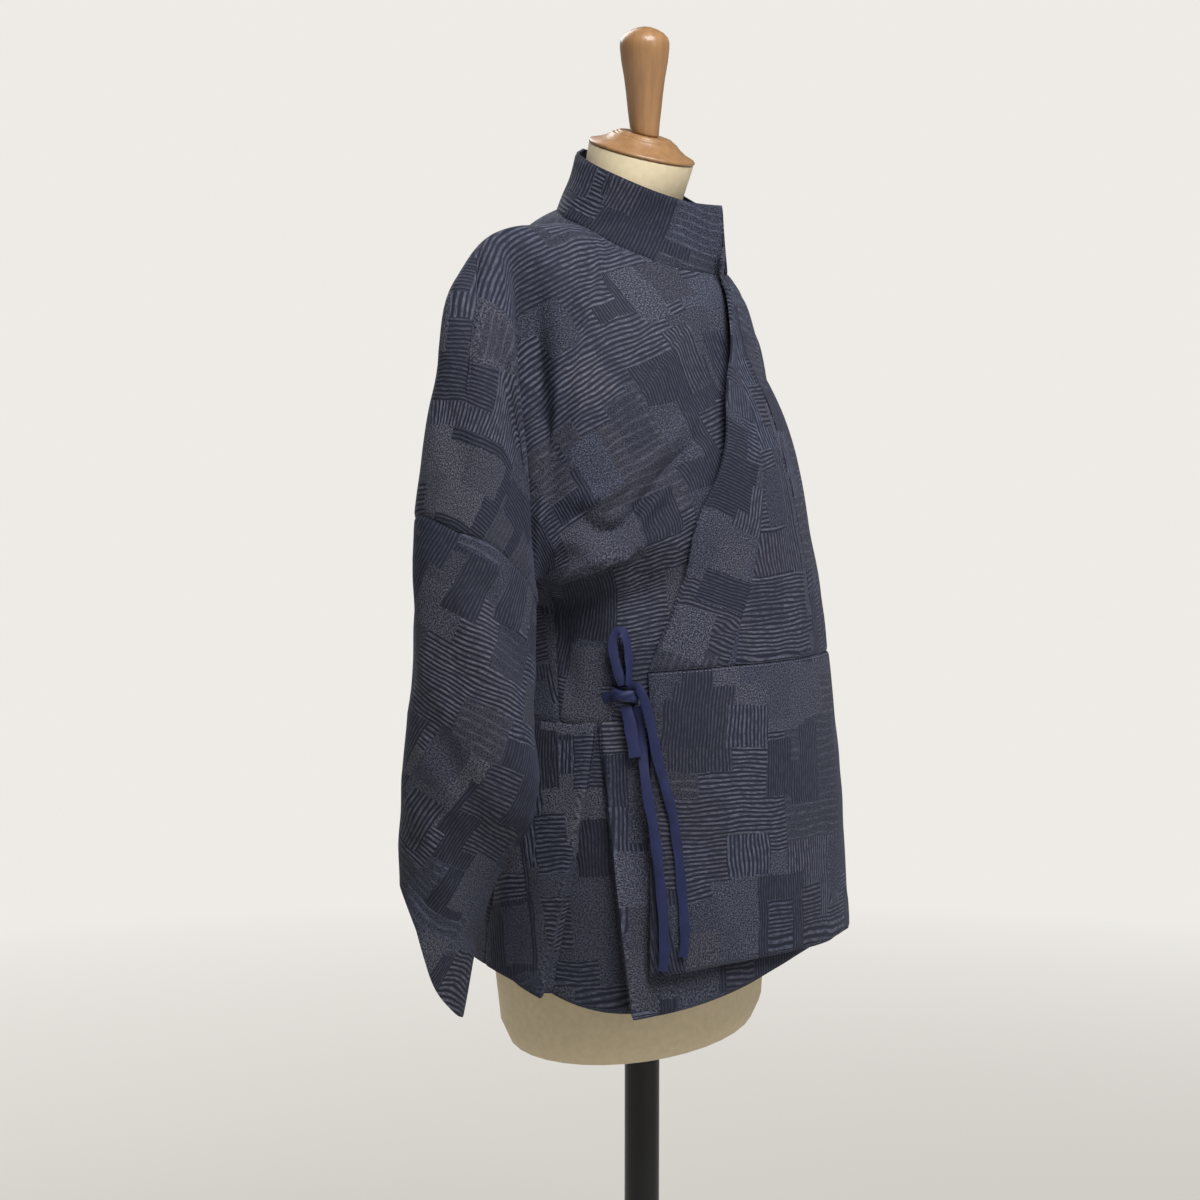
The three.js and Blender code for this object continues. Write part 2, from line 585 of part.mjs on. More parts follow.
const PEPLUM_FRONT = [
  ...range(0, PLEAT[0].top, 6), ...PLEAT.slice(1).map((row) => row.top),
  ...range(PLEAT[PLEAT.length - 1].top, PEPLUM_SEAM, 2).slice(1),
];
const PEPLUM_BACK = range(PEPLUM_SEAM, 2, 9);
const peplumGrid = (places) => [...DOWN].reverse()
  .map((down) => places.map((place) => peplumPoint(place, down)));
const otherHalf = (grid) => grid.map((line) => [...line].reverse().map(mirror));

cutPiece('peplum_right_front', [peplumGrid(PEPLUM_FRONT)]);
const backHalf = peplumGrid(PEPLUM_BACK);
cutPiece('peplum_back', [
  backHalf.map((line, i) => [...line, ...otherHalf(backHalf)[i].slice(1)]),
]);

// The outer peplum lies on the under one (or on the right front above its waist), moved out.
// Negative places lie on the wearer's left, where it has the same side pleat.
function underAt(place, z) {
  const points = [];
  for (const down of range(1, 0, 24)) points.push(plainPeplum(place, down));
  for (const row of range(0, 2, 12).slice(1)) points.push(sectionPoint(row, place));
  let i = 0;
  while (i < points.length - 2 && points[i + 1].z < z) i += 1;
  const share = (z - points[i].z) / (points[i + 1].z - points[i].z);
  return points[i].clone().lerp(points[i + 1], share);
}
function outerPeplumPoint(place, down) {
  const hemZ = lookUp(OUTER_PEPLUM, 'place', 'hem', place);
  const z = THREE.MathUtils.lerp(outerSeam(place), hemZ, down);
  const own = Math.abs(place);
  const pleat = place < 0 ? pleatAt(own) : { hem: own, out: 0 };
  const at = own + (pleat.hem - own) * down;
  const p = underAt(at, z);
  const q = underAt(at + 0.02, z);
  const outward = new THREE.Vector3(q.y - p.y, p.x - q.x, 0).normalize().negate();
  if (own === 0) outward.set(0, -1, 0);
  const flare = 1 + OUTER_FLARE * down;
  if (place >= 0) return p.addScaledVector(outward, LAYER * flare);
  const stand = leftOut(at) * flare + pleat.out * Math.pow(down, PLEAT_OPENING);
  return mirror(p.addScaledVector(outward, stand));
}
const OUTER_RIGHT = range(OUTER_PEPLUM[OUTER_PEPLUM.length - 1].place, 0, 7);
const LEFT_PLACES = PEPLUM_FRONT.filter((place) => place > 0);
const outerLine = (down) => [
  ...OUTER_RIGHT.map((place) => outerPeplumPoint(place, down)),
  ...LEFT_PLACES.map((place) => outerPeplumPoint(-place, down)),
];
cutPiece('peplum_left_front', [[...DOWN].reverse().map(outerLine)], { flip: true });

// ---------------------------------------------------------------- build the cloth meshes
const group = new THREE.Group();
const material = (name, roughness, metalness = 0) => new THREE.MeshStandardMaterial({
  name, color: COLORS[name], roughness, metalness,
});
const MATERIALS = {
  jacquard: () => material('jacquard', 0.85),
  ribbon: () => material('ribbon', 0.6),
  linen: () => material('linen', 0.8),
  wood: () => material('wood', 0.35),
  paint: () => material('paint', 0.5, 0.4),
};
function addMesh(name, geometry, color) {
  geometry.computeVertexNormals();
  const mesh = new THREE.Mesh(geometry, MATERIALS[color]());
  mesh.name = name;
  group.add(mesh);
  return mesh;
}
addNormals();
for (const piece of pool.pieces) addMesh(piece.name, pieceGeometry(piece), 'jacquard');

// ---------------------------------------------------------------- closed bodies from rings
// Rings joined into one closed body, with flat ends.
function ringsGeometry(rings) {
  const count = rings[0].length;
  const xyz = rings.flat().flatMap((p) => [p.x, p.y, p.z]);
  const centre = (ring) => ring
    .reduce((sum, p) => sum.add(p), new THREE.Vector3())
    .divideScalar(count);
  const [first, last] = [centre(rings[0]), centre(rings[rings.length - 1])];
  xyz.push(first.x, first.y, first.z, last.x, last.y, last.z);
  const [bottom, top] = [rings.length * count, rings.length * count + 1];
  const triangles = [];
  for (let i = 0; i + 1 < rings.length; i += 1) {
    for (let j = 0; j < count; j += 1) {
      const a = i * count + j;
      const b = i * count + ((j + 1) % count);
      triangles.push(a, b, b + count, a, b + count, a + count);
    }
  }
  for (let j = 0; j < count; j += 1) {
    const next = (j + 1) % count;
    triangles.push(bottom, next, j);
    triangles.push(top, (rings.length - 1) * count + j, (rings.length - 1) * count + next);
  }
  const geometry = new THREE.BufferGeometry();
  geometry.setAttribute('position', new THREE.Float32BufferAttribute(xyz, 3));
  geometry.setIndex(triangles);
  return geometry;
}

// ---------------------------------------------------------------- tie
function ribbonGeometry({ width, facing, steps, route }) {
  const curve = new THREE.CatmullRomCurve3(route.map(vec), false, 'centripetal');
  const rings = range(0, 1, steps).map((share) => {
    const along = curve.getTangentAt(share);
    const out = vec(facing);
    out.addScaledVector(along, -out.dot(along)).normalize();
    const side = out.clone().cross(along);
    return [[1, 1], [-1, 1], [-1, -1], [1, -1]].map(([s, o]) => curve.getPointAt(share)
      .addScaledVector(side, (s * width) / 2)
      .addScaledVector(out, (o * RIBBON_WALL) / 2));
  });
  return ringsGeometry(rings);
}
for (const run of TIES) addMesh(run.name, ribbonGeometry(run), 'ribbon');

const knotAxes = new THREE.Matrix4().lookAt(
  new THREE.Vector3(),
  vec(SIDE_FACING).negate(),
  new THREE.Vector3(0, 0, 1),
);
const knot = addMesh('tie_knot', new THREE.SphereGeometry(1, 14, 9)
  .scale(KNOT.halfWidth, KNOT.halfHeight, KNOT.halfDepth), 'ribbon');
knot.quaternion.setFromRotationMatrix(knotAxes);
knot.position.copy(vec(KNOT.at));

// ---------------------------------------------------------------- dress form
const TORSO_SIDES = 36;
function torsoRing(row) {
  return range(0, 2 * Math.PI, TORSO_SIDES).slice(0, -1).map((angle) => {
    const y = Math.sin(angle);
    const depth = y < 0 ? row.front : row.back;
    return new THREE.Vector3(row.wide * Math.cos(angle), row.y + depth * y, row.z);
  });
}
const tilt = new THREE.Quaternion().setFromAxisAngle(
  new THREE.Vector3(1, 0, 0),
  THREE.MathUtils.degToRad(CAP_TILT),
);
const neckTop = new THREE.Vector3(NECK_TOP.x, NECK_TOP.y, NECK_TOP.z);
const neckRing = range(0, 2 * Math.PI, TORSO_SIDES).slice(0, -1).map((angle) => new THREE.Vector3(
  NECK_RADIUS * Math.cos(angle), NECK_RADIUS * Math.sin(angle), -SEAM,
).applyQuaternion(tilt).add(neckTop));
addMesh('form_torso', ringsGeometry([...TORSO.map(torsoRing), neckRing]), 'linen');

// Turned pieces: a profile of [radius, height] rows from the axis back to the axis.
function turned(profile, sides = 32) {
  const geometry = new THREE.LatheGeometry(profile.map(([r, z]) => new THREE.Vector2(r, z)), sides);
  return geometry.rotateX(Math.PI / 2);
}
const CAP_TOP = 16.5;
const cap = addMesh('neck_cap', turned([
  [0, 0], [47, 0], [48, 0.8], [48, 2.6], [46.8, 3.6], [39, 6.4], [33.5, 9.6], [30.4, 12.2],
  [29.4, 13.4], [26.9, 13.6], [26.6, 15], [24.4, 15.2], [24, CAP_TOP], [0, CAP_TOP],
]), 'wood');
cap.quaternion.copy(tilt);
cap.position.copy(neckTop);

// The finial stands upright; its foot is cut to the cap's slope.
const FINIAL_TOP = 93.5;
const FINIAL_Y = -0.5;
const FOOT_CUT_HEIGHT = 14;
const finialGeometry = turned([
  [0, 0], [11.6, 0], [12.8, 1.4], [13.2, 7], [13.8, 12], [15, 22], [16.4, 35.5], [18.2, 49.5],
  [20.6, 63], [21.8, 74], [21.9, 79], [20.7, 83.4], [17, 87.5], [11, 90.9], [5, 92.9],
  [0, FINIAL_TOP],
], 24);
const capSlope = Math.tan(THREE.MathUtils.degToRad(CAP_TILT));
const finialPoints = finialGeometry.attributes.position;
for (let i = 0; i < finialPoints.count; i += 1) {
  const height = finialPoints.getZ(i);
  const cut = Math.max(0, 1 - height / FOOT_CUT_HEIGHT);
  finialPoints.setZ(i, height + finialPoints.getY(i) * capSlope * cut);
}
const finial = addMesh('neck_finial', finialGeometry, 'wood');
const capFace = new THREE.Vector3(0, 0, CAP_TOP + SEAM).applyQuaternion(tilt).add(neckTop);
const footZ = capFace.z + (FINIAL_Y - capFace.y) * capSlope;
finial.position.set(0, FINIAL_Y, footZ);

const POLE_BOTTOM = BASE_HEIGHT + SEAM;
addMesh('stand_pole', turned([
  [0, POLE_BOTTOM], [30, POLE_BOTTOM], [30, 34], [26, 40], [POLE_RADIUS, 46],
  [POLE_RADIUS, TORSO_BOTTOM_Z - SEAM], [0, TORSO_BOTTOM_Z - SEAM],
], 28), 'paint');
addMesh('stand_base', turned([
  [0, 0], [BASE_RADIUS - 2, 0], [BASE_RADIUS, 2], [BASE_RADIUS, 12], [BASE_RADIUS - 5, 17],
  [BASE_RADIUS - 60, BASE_HEIGHT], [0, BASE_HEIGHT],
], 48), 'paint');

export default group;
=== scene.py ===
"""A cross-over top with a stand collar and a pleated peplum, on a limbless dress form.

Millimetres in the tables, metres in the meshes.  +Z is up and the garment faces -Y, so the
wearer's right is -X.  Each sewn piece is a thin shell on the form of its solid.
"""
import math

import bmesh
import bpy
import numpy as np
from bpy.props import FloatProperty, FloatVectorProperty, PointerProperty
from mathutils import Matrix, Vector


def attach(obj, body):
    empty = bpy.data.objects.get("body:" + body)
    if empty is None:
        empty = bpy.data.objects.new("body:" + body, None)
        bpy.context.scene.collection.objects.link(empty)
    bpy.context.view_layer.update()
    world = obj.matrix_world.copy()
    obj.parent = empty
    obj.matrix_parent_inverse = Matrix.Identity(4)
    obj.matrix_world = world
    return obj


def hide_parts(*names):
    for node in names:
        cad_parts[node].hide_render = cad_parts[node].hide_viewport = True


bl_info = {
    "name": "Wrap Top on a Dress Form",
    "version": (1, 0, 0),
    "blender": (4, 5, 0),
    "location": "3D View > Sidebar > Wrap Top",
    "description": "Builds a cross-over top, its ribbon tie, and the dress form that wears it",
    "category": "Object",
}

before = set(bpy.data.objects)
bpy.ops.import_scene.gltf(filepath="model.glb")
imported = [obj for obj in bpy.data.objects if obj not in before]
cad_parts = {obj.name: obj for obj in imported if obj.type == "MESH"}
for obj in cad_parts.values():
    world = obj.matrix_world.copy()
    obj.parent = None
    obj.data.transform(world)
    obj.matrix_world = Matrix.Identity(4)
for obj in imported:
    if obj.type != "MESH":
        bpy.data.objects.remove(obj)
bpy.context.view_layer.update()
MM = 0.001

# ---------------------------------------------------------------- sizes, mm
# A row counts the cloth's sections from the waist up, and on down the sleeve.  A place runs
# round a section: 0 at the front, 1 at the side or the underarm, 2 at the back.
LAYER = 5.0                 # how far the lapped front lies off the front under it
LAP_BLEND = 0.55            # by this place the left front lies on the right one's mirror image
LAP_BLEND_ROWS = 1.5        # and within this many rows over the neck
LAP_SEAM_LEAST = 0.35       # the band's seam stays this share of the way to the edge
LAP_CORNER_RISE = 27        # how far the lap's corner stands up at the neck
LAP_CORNER_LEAN = 2
OUTER_FLARE = 0.8           # by this share more does the outer peplum stand off at its hem
PLEAT_OPENING = 0.8         # under 1, the pleat opens sooner than evenly down to the hem
PEPLUM_BELLY = 3            # how far the peplum swells between waist and hem
PEPLUM_SEAM = 1.2           # the place where the front peplums meet the back one
COLLAR_HOLLOW = 2.5         # how far the collar curves in between neckline and top
COLLAR_HOLLOW_FADE = 20     # this near the middle it curves less
COLLAR_STEPS = 12           # along half the neckline: six up the front and six at the back
NECK_MIDDLE_Y = 10
NECK_ROW, NECK_POINT_ROW, JOINT_ROW, CUFF_ROW = 6, 9, 17, 24
BODICE_ROWS = 150           # how finely the bodice halves are cut up from waist to sleeve
LIP_OVER, LIP_UNDER = 7.5, 7    # how far the underarm lip stands out, and the cloth below in
LIP_DROOP = 6.5             # how far the lip hangs down
CUFF_DROP = 13              # how far the cuff's lowest point hangs below its ring
SLEEVE_GRAIN_LEAN = 0.42    # radians by which the sleeve's grain leans off the arm
GROOVE_WIDTH = 2.2          # how far from a seam its groove has faded to a third
KNOT_RADIUS, KNOT_DEPTH, KNOT_HEIGHT = 10.4, 5.6, 10.4
STITCHED_FROM, STITCHED_TO = 0.685, -1.15   # places on the outer peplum
STITCH_DOWN = 0.006         # how far under the waist seam the row lies, as a share
STITCH_REPEAT = 1.6         # from one stitch to the next, in stitch lengths
STITCH_PROUD = 0.15         # how far the thread's middle lies off the cloth
THREAD_RADIUS, THREAD_END_RADIUS = 0.36, 0.12
WELD_DISTANCE = 0.00004     # metres within which two points are one
CLOTH_SMOOTHING, HARD_SMOOTHING, HARD_EDGE = 55, 34, 28     # degrees
UV_SPAN = 100               # mm of cloth in one unit of the weave's map

# Sections of the right half, from the waist up the body, round the underarm and on to the
# sleeve: front, frontA, frontB, seam, backB, backA, back.
BODY = np.array([
    [(0, -160, 1030), (-97, -160, 1026), (-173, -88, 991), (-173, 0, 991),
     (-173, 70, 991), (-97, 128, 991), (0, 128, 991)],
    [(0, -153, 1085), (-93, -153, 1078), (-167, -82, 1045), (-167, 5, 1042),
     (-167, 70, 1045), (-95, 126, 1060), (0, 126, 1066)],
    [(0, -144, 1140), (-92, -143, 1128), (-163, -72, 1096), (-163, 10, 1086),
     (-163, 66, 1094), (-94, 123, 1125), (0, 123, 1140)],
    [(0, -132, 1195), (-93, -129, 1190), (-224, -58, 1134), (-170, 12, 1104),
     (-206, 88, 1118), (-98, 124, 1185), (0, 119, 1215)],
    [(0, -116, 1245), (-83, -111, 1240), (-213, -74, 1158), (-178, 13, 1110),
     (-218, 104, 1158), (-102, 126, 1262), (0, 114, 1290)],
    [(0, -91, 1300), (-72, -83, 1292), (-208, -72, 1200), (-183, 13, 1113),
     (-224, 112, 1200), (-104, 122, 1330), (0, 98, 1365)],
    [(0, -75, 1361), (-66, -74, 1336), (-204, -60, 1242), (-187, 13, 1114),
     (-226, 114, 1238), (-98, 112, 1385), (0, 73, 1421)],
    [(-45, -48, 1372), (-86, -60, 1330), (-201, -47, 1262), (-190, 13, 1114),
     (-227, 113, 1268), (-102, 104, 1402), (-38, 66, 1420)],
    [(-70, -5, 1391), (-112, -36, 1346), (-198, -28, 1282), (-193, 13, 1114),
     (-228, 111, 1288), (-112, 98, 1408), (-64, 48, 1415)],
    [(-74, 24, 1406), (-116, -24, 1392), (-195, -18, 1292), (-195, 13, 1114),
     (-229, 109, 1300), (-108, 84, 1410), (-74, 24, 1406)],
    [(-112, 34, 1410), (-142, -16, 1407), (-192, -4, 1302), (-197, 13, 1113),
     (-230, 106, 1305), (-132, 86, 1409), (-112, 34, 1410)],
    [(-152, 42, 1410), (-172, 2, 1407), (-182, 22, 1290), (-199, 13, 1112),
     (-229, 94, 1300), (-166, 88, 1406), (-152, 42, 1410)],
    [(-182, 48, 1406), (-186, 32, 1398), (-174, 46, 1238), (-201, 13, 1110),
     (-226, 78, 1270), (-196, 84, 1398), (-182, 48, 1406)],
    [(-206, 55, 1393), (-228, 12, 1386), (-243, 6, 1232), (-203, 13, 1107),
     (-240, 70, 1240), (-222, 82, 1386), (-206, 55, 1393)],
], float)

# Rings of the sleeve: outer, front, inner, back.  The fourth is the joining seam.
SLEEVE = np.array([
    [(-238, 44, 1350), (-232, 12, 1240), (-205, 13, 1103), (-243, 66, 1270)],
    [(-262, 38, 1290), (-236, 8, 1188), (-206, 14, 1100), (-250, 71, 1222)],
    [(-277, 36, 1225), (-239, 4, 1152), (-207, 15, 1096), (-257, 77, 1190)],
    [(-288, 36, 1166), (-242, 2, 1127), (-207, 18, 1090), (-262, 81, 1160)],
    [(-295, 35, 1112), (-246, -3, 1062), (-209, 27, 1062), (-267, 82, 1112)],
    [(-299, 34, 1052), (-249, -7, 1004), (-212, 38, 1000), (-270, 85, 1054)],
    [(-301, 33, 1004), (-250, -13, 962), (-213, 36, 958), (-270, 88, 1006)],
    [(-302, 40, 962), (-252, -7, 926), (-214, 42, 920), (-269, 93, 966)],
    [(-300, 50, 925), (-253, 25, 884), (-216, 52, 878), (-268, 96, 930)],
    [(-298, 62, 882), (-255, 46, 828), (-220, 64, 826), (-267, 99, 892)],
    [(-296, 72, 836), (-257, 61, 754), (-226, 76, 764), (-266, 98, 852)],
], float)

HEM = np.array([
    (0, -177, 782), (-108, -177, 780), (-199, -104, 712), (-199, 6, 758),
    (-199, 84, 784), (-110, 146, 766), (0, 146, 762),
], float)

# Where each piece is cut from the cloth, mm, and the phase of its uneven lie.
CLOTH_PLACES = {
    "bodice_right": ((131, 1057), 0.4), "bodice_left": ((613, 287), 2.2),
    "lower_sleeve_right": ((211, 377), 1.1), "lower_sleeve_left": ((863, 149), 3.0),
    "stand_collar": ((431, 523), 0.9), "lapped_front": ((97, 811), 1.7),
    "lapel_band": ((709, 63), 1.7), "peplum_under": ((17, 157), 0.3),
    "peplum_rear": ((301, 941), 1.4), "peplum_outer": ((541, 701), 2.7),
}

# One side pleat: top place, hem place, how far it stands out at the hem.
PLEAT = np.array([
    (0.80, 0.60, 0), (0.825, 0.67, 2), (0.85, 0.735, 10), (0.855, 0.725, -2), (0.857, 0.74, -11),
    (0.862, 0.82, -9), (0.867, 0.90, -10), (0.872, 0.985, -12), (0.874, 1.0, -3),
    (0.88, 0.99, 9), (0.92, 1.06, 5), (1.0, 1.12, 0),
])

# The fold at the underarm: place, row, how far it hangs over, as a share.
LIP = np.array([
    (0.50, 2.75, 0), (0.60, 2.82, 0.25), (0.69, 2.95, 0.8), (0.76, 3.04, 1), (0.83, 3.13, 1),
    (0.90, 3.25, 0.8), (1.0, 3.4, 0.3), (1.10, 3.3, 0.7), (1.20, 3.15, 0.8), (1.30, 3.0, 0.4),
    (1.40, 2.9, 0), (2.0, 2.9, 0),
])

# The lapped front's free edge: row, place, how far it is lifted, width of its band.
LAP_EDGE = np.array([
    (0.75, 0.69, 5, 0.30), (1.0, 0.66, 5, 0.30), (1.5, 0.60, 5, 0.30), (2.0, 0.545, 6, 0.30),
    (2.5, 0.475, 7, 0.29), (3.0, 0.40, 8, 0.26), (3.5, 0.335, 10, 0.21), (4.0, 0.285, 13, 0.17),
    (4.5, 0.235, 16, 0.13), (5.0, 0.155, 15, 0.09), (5.5, 0.085, 10, 0.055),
    (6.0, 0.045, 6, 0.03),
])

# The outer peplum: place, height of its seam, height of its hem.
OUTER_PEPLUM = np.array([
    (-1.2, 991, 760), (-1.0, 991, 756), (-0.6, 1011, 766), (0.0, 1034, 781), (0.4, 1038, 786),
    (0.69, 1036, 778),
])

# Soft folds of the peplum panels: places and shares down of each line, width, depth.
PEPLUM_FOLDS = {
    "peplum_under": [
        ([(0.20, 0.15), (0.16, 0.9)], 18, -2.0), ([(0.38, 0.1), (0.34, 0.95)], 16, 2.2),
        ([(0.60, 0.1), (0.56, 0.9)], 14, -2.0), ([(1.1, 0.2), (1.12, 0.95)], 12, 2.0)],
    "peplum_rear": [
        ([(1.42, 0.1), (1.40, 0.95)], 20, 2.2), ([(1.66, 0.15), (1.64, 0.9)], 22, -2.4),
        ([(1.90, 0.1), (1.90, 0.95)], 24, 2.4), ([(2.22, 0.15), (2.24, 0.9)], 22, -2.4),
        ([(2.52, 0.1), (2.56, 0.95)], 20, 2.2)],
    "peplum_outer": [
        ([(0.50, 0.1), (0.44, 0.9)], 22, 1.6), ([(0.22, 0.2), (0.20, 0.95)], 24, -1.6),
        ([(-0.05, 0.1), (-0.03, 0.95)], 24, 1.8), ([(-0.34, 0.15), (-0.30, 0.9)], 22, -2.2),
        ([(-0.58, 0.1), (-0.52, 0.95)], 18, 2.4)],
}

# Folds of the collar and the lapped front: rows and columns of each line, width, depth.
COLLAR_FOLDS = [
    ((2, 8, 13), (9, 14, 17), 7, 1.0), ((3, 9, 14), (30, 27, 26), 8, -1.0),
    ((4, 9, 13), (50, 54, 56), 7, 0.9), ((3, 8, 14), (84, 80, 79), 8, -1.0),
    ((4, 9, 13), (104, 108, 110), 7, 0.9),
]
LAP_FOLDS = [
    ((12, 40, 70), (30, 24, 14), 16, 1.6), ((24, 52, 84), (12, 10, 6), 14, -1.4),
]

# The collar's top edge: x, y, z, how far the left half stands ahead, and how far it drops.
COLLAR_TOP = np.array([
    (0, -74, 1426, -1, 1), (-26, -59, 1429, 0, 6), (-49, -30, 1440, 0, 14),
    (-57, 8, 1456, 0, 12), (-42, 44, 1470, 0, 5), (0, 59, 1475, 0, 0),
], float)

SIDE_FACING = (-0.9, -0.42, 0.12)
FRONT_FACING = (-0.83, -0.55, 0.1)
KNOT_AT = (-165.6, -57.8, 1017.6)
RIBBON = 11.5
# Each run of ribbon: node, how wide it shows, the ways its flat side faces at its two ends,
# and its middle line.
TIES = [
    ("tie_loop", 8.6, SIDE_FACING, (-0.25, -0.96, 0.1), [
        (-167, -56, 1026.2), (-168, -51.5, 1040), (-168, -48, 1053), (-168, -47, 1063),
        (-167, -48.5, 1070), (-165, -52, 1073), (-163, -55.5, 1070.5), (-162, -58, 1062),
        (-162, -59.5, 1051), (-163, -60.3, 1039), (-164.9, -60.9, 1026.3)]),
    ("tie_long_front", 8.8, SIDE_FACING, FRONT_FACING, [
        (-164, -61, 1022), (-164.6, -65, 1027), (-165, -70, 1025.5), (-164.6, -74, 1018),
        (-163.6, -77.5, 1009), (-163, -80, 998),
        (-164, -84, 980), (-165, -90, 957), (-164, -96, 938), (-163, -101, 919),
        (-163, -104, 902), (-163, -107, 883), (-164, -110, 857), (-165, -113, 831),
        (-166, -114.5, 807), (-168, -113, 796)]),
    ("tie_short_end", 11, SIDE_FACING, SIDE_FACING, [
        (-166.5, -59, 1008), (-168, -63.5, 995), (-170, -67, 980), (-172, -70.5, 966)]),
    ("tie_long_back", 9.2, SIDE_FACING, FRONT_FACING, [
        (-160.5, -67, 1008), (-161, -70, 994), (-163, -72, 981), (-166, -74.5, 968),
        (-170, -78.5, 950), (-173, -83, 931), (-174, -87, 914), (-174, -90, 898),
        (-175, -94.5, 866), (-176, -97.5, 843), (-177, -99.5, 821), (-178, -101, 799),
        (-180, -99.5, 785)]),
    ("tie_root_side", 9, SIDE_FACING, SIDE_FACING, [
        (-167.4, -49, 1016), (-167.4, -43.8, 1015), (-167.8, -38.4, 1014)]),
]

# ---------------------------------------------------------------- the weave, per mm of cloth
# Layers of blocks over the ground's own: width, height, seed, the share of cells that hold
# a block, and how much narrower than its cell a block may be.
BLOCK_LAYERS = (
    (82, 104, 11, 0.74, 0.30), (64, 57, 23, 0.66, 0.34), (43, 71, 37, 0.56, 0.30))
GROUND_BLOCKS = (88, 108, 3, 1, 0)
# Up to these limits a block's number means fleck, dark ribs along, pale ribs across and
# broken check, and past them pale ribs along.
KIND_LIMITS = (0.30, 0.55, 0.80, 0.91)
# Ribs in a millimetre, how many more the dark weave has, and how many fewer the check.
RIBS, DARK_RIBS_MORE, CHECK_LINES_FEWER = 0.263, 0.07, 0.12
CROSS_LINE_PITCH = 6.2      # mm between the check's lines across
FLECK_GRAINS = 0.72         # grains in a millimetre

# ---------------------------------------------------------------- stage, metres
BACKGROUND = "eeebe6"
ROOM_LIGHT = 0.19           # the share of the backdrop's brightness that lights the garment
CAMERA_AT = (-2.52614, -1.13526, 1.48687)
CAMERA_FORWARD = (0.89636, 0.41798, -0.14781)
LENS, SENSOR_WIDTH = 93.33, 36
# Each lamp: name, place, what it is aimed at, size, watts.
LAMPS = (
    ("overhead", (-0.9, -1.3, 3.5), (-0.1, 0, 1.2), 1.5, 112),
    ("key", (-1.0, -3.2, 2.3), (0, 0, 1.1), 1.2, 10),
    ("back", (1.8, 2.6, 3.0), (0, 0, 1.2), 2.0, 70),
)
FLOOR_RADIUS = 9
FLOOR_DROP = 0.0004         # the floor lies just under the base
FLOOR_FADE = (0.9, 3.2)     # from and to how far off the floor turns into the backdrop


# ---------------------------------------------------------------- settings
def hex_colour(code):
    """A hex sRGB colour as linear RGB."""
    parts = [int(code[i:i + 2], 16) / 255 for i in (0, 2, 4)]
    return tuple(c / 12.92 if c <= 0.04045 else ((c + 0.055) / 1.055) ** 2.4 for c in parts)


def colour_property(label, description, code):
    return FloatVectorProperty(
        name=label, description=description, subtype="COLOR", size=3, min=0, max=1,
        default=hex_colour(code))


class WrapTopSizes(bpy.types.PropertyGroup):
    """Sizes of the cloth that a user may change."""
    wall: FloatProperty(
        name="Cloth wall", description="Thickness of the woven cloth with its facing",
        default=0.002, min=0.001, max=0.003, unit="LENGTH")
    ribbon_wall: FloatProperty(
        name="Ribbon wall", description="Thickness of the folded ribbon",
        default=0.001, min=0.0005, max=0.002, unit="LENGTH")
    groove: FloatProperty(
        name="Seam groove", description="How deep the cloth dips at a sewn seam",
        default=0.0011, min=0, max=0.002, unit="LENGTH")
    fold_depth: FloatProperty(
        name="Fold depth", description="Share of the drawn depth that the folds have",
        default=1.0, min=0, max=1.5, subtype="FACTOR")
    stitch: FloatProperty(
        name="Stitch length", description="Length of one topstitch",
        default=0.0024, min=0.001, max=0.005, unit="LENGTH")


class WrapTopColours(bpy.types.PropertyGroup):
    """Colours of the materials."""
    ground: colour_property("Ground", "The weave's dark indigo ground", "1b1e2c")
    light: colour_property("Pale yarn", "The weave's pale slate yarn", "797985")
    blue: colour_property("Blue yarn", "The pale yarn's bluer dye lot", "6e7489")
    thread: colour_property("Thread", "Topstitching thread", "5f6273")
    ribbon: colour_property("Ribbon", "The indigo ribbon", "1b2148")
    linen: colour_property("Linen", "The form's cream cover", "cebf9f")
    wood: colour_property("Wood", "The lacquered beech of the cap and finial", "98714a")
    paint: colour_property("Paint", "The stand's satin black paint", "1c1c1e")


# ---------------------------------------------------------------- the garment's surface
def smooth_at(values, x):
    """A smooth curve through evenly spaced values that never overshoots them."""
    values = np.asarray(values, float)
    step = np.diff(values, axis=0)
    slope = np.empty_like(values)
    slope[0], slope[-1] = step[0], step[-1]
    before, after = step[:-1], step[1:]
    same = before * after > 0
    slope[1:-1] = np.where(same, 2 * before * after / np.where(same, before + after, 1), 0)
    x = np.atleast_1d(np.asarray(x, float))
    i = np.clip(np.floor(x).astype(int), 0, len(values) - 2)
    t = (x - i).reshape((-1,) + (1,) * (values.ndim - 1))
    return (values[i] * (2 * t ** 3 - 3 * t ** 2 + 1) + slope[i] * (t ** 3 - 2 * t ** 2 + t)
            + values[i + 1] * (3 * t ** 2 - 2 * t ** 3) + slope[i + 1] * (t ** 3 - t ** 2))


def look_up(keys, values, x):
    """A table's column at x, where keys is the table's own rising scale."""
    at = np.interp(np.ravel(x), keys, np.arange(len(keys)))
    return smooth_at(values, at).reshape(np.shape(x))


def unit(v):
    return v / np.maximum(np.linalg.norm(v, axis=-1, keepdims=True), 1e-9)


def ring_row(ring):
    """A sleeve ring as the seven points of a body section."""
    outer, front, inner, back = ring
    middle = (outer + inner) / 2
    ahead, behind = (front - middle) * 4 / 3, (back - middle) * 4 / 3
    return [outer, outer + ahead, inner + ahead, inner, inner + behind, outer + behind, outer]


SECTIONS = np.concatenate([BODY, np.array([ring_row(ring) for ring in SLEEVE])])


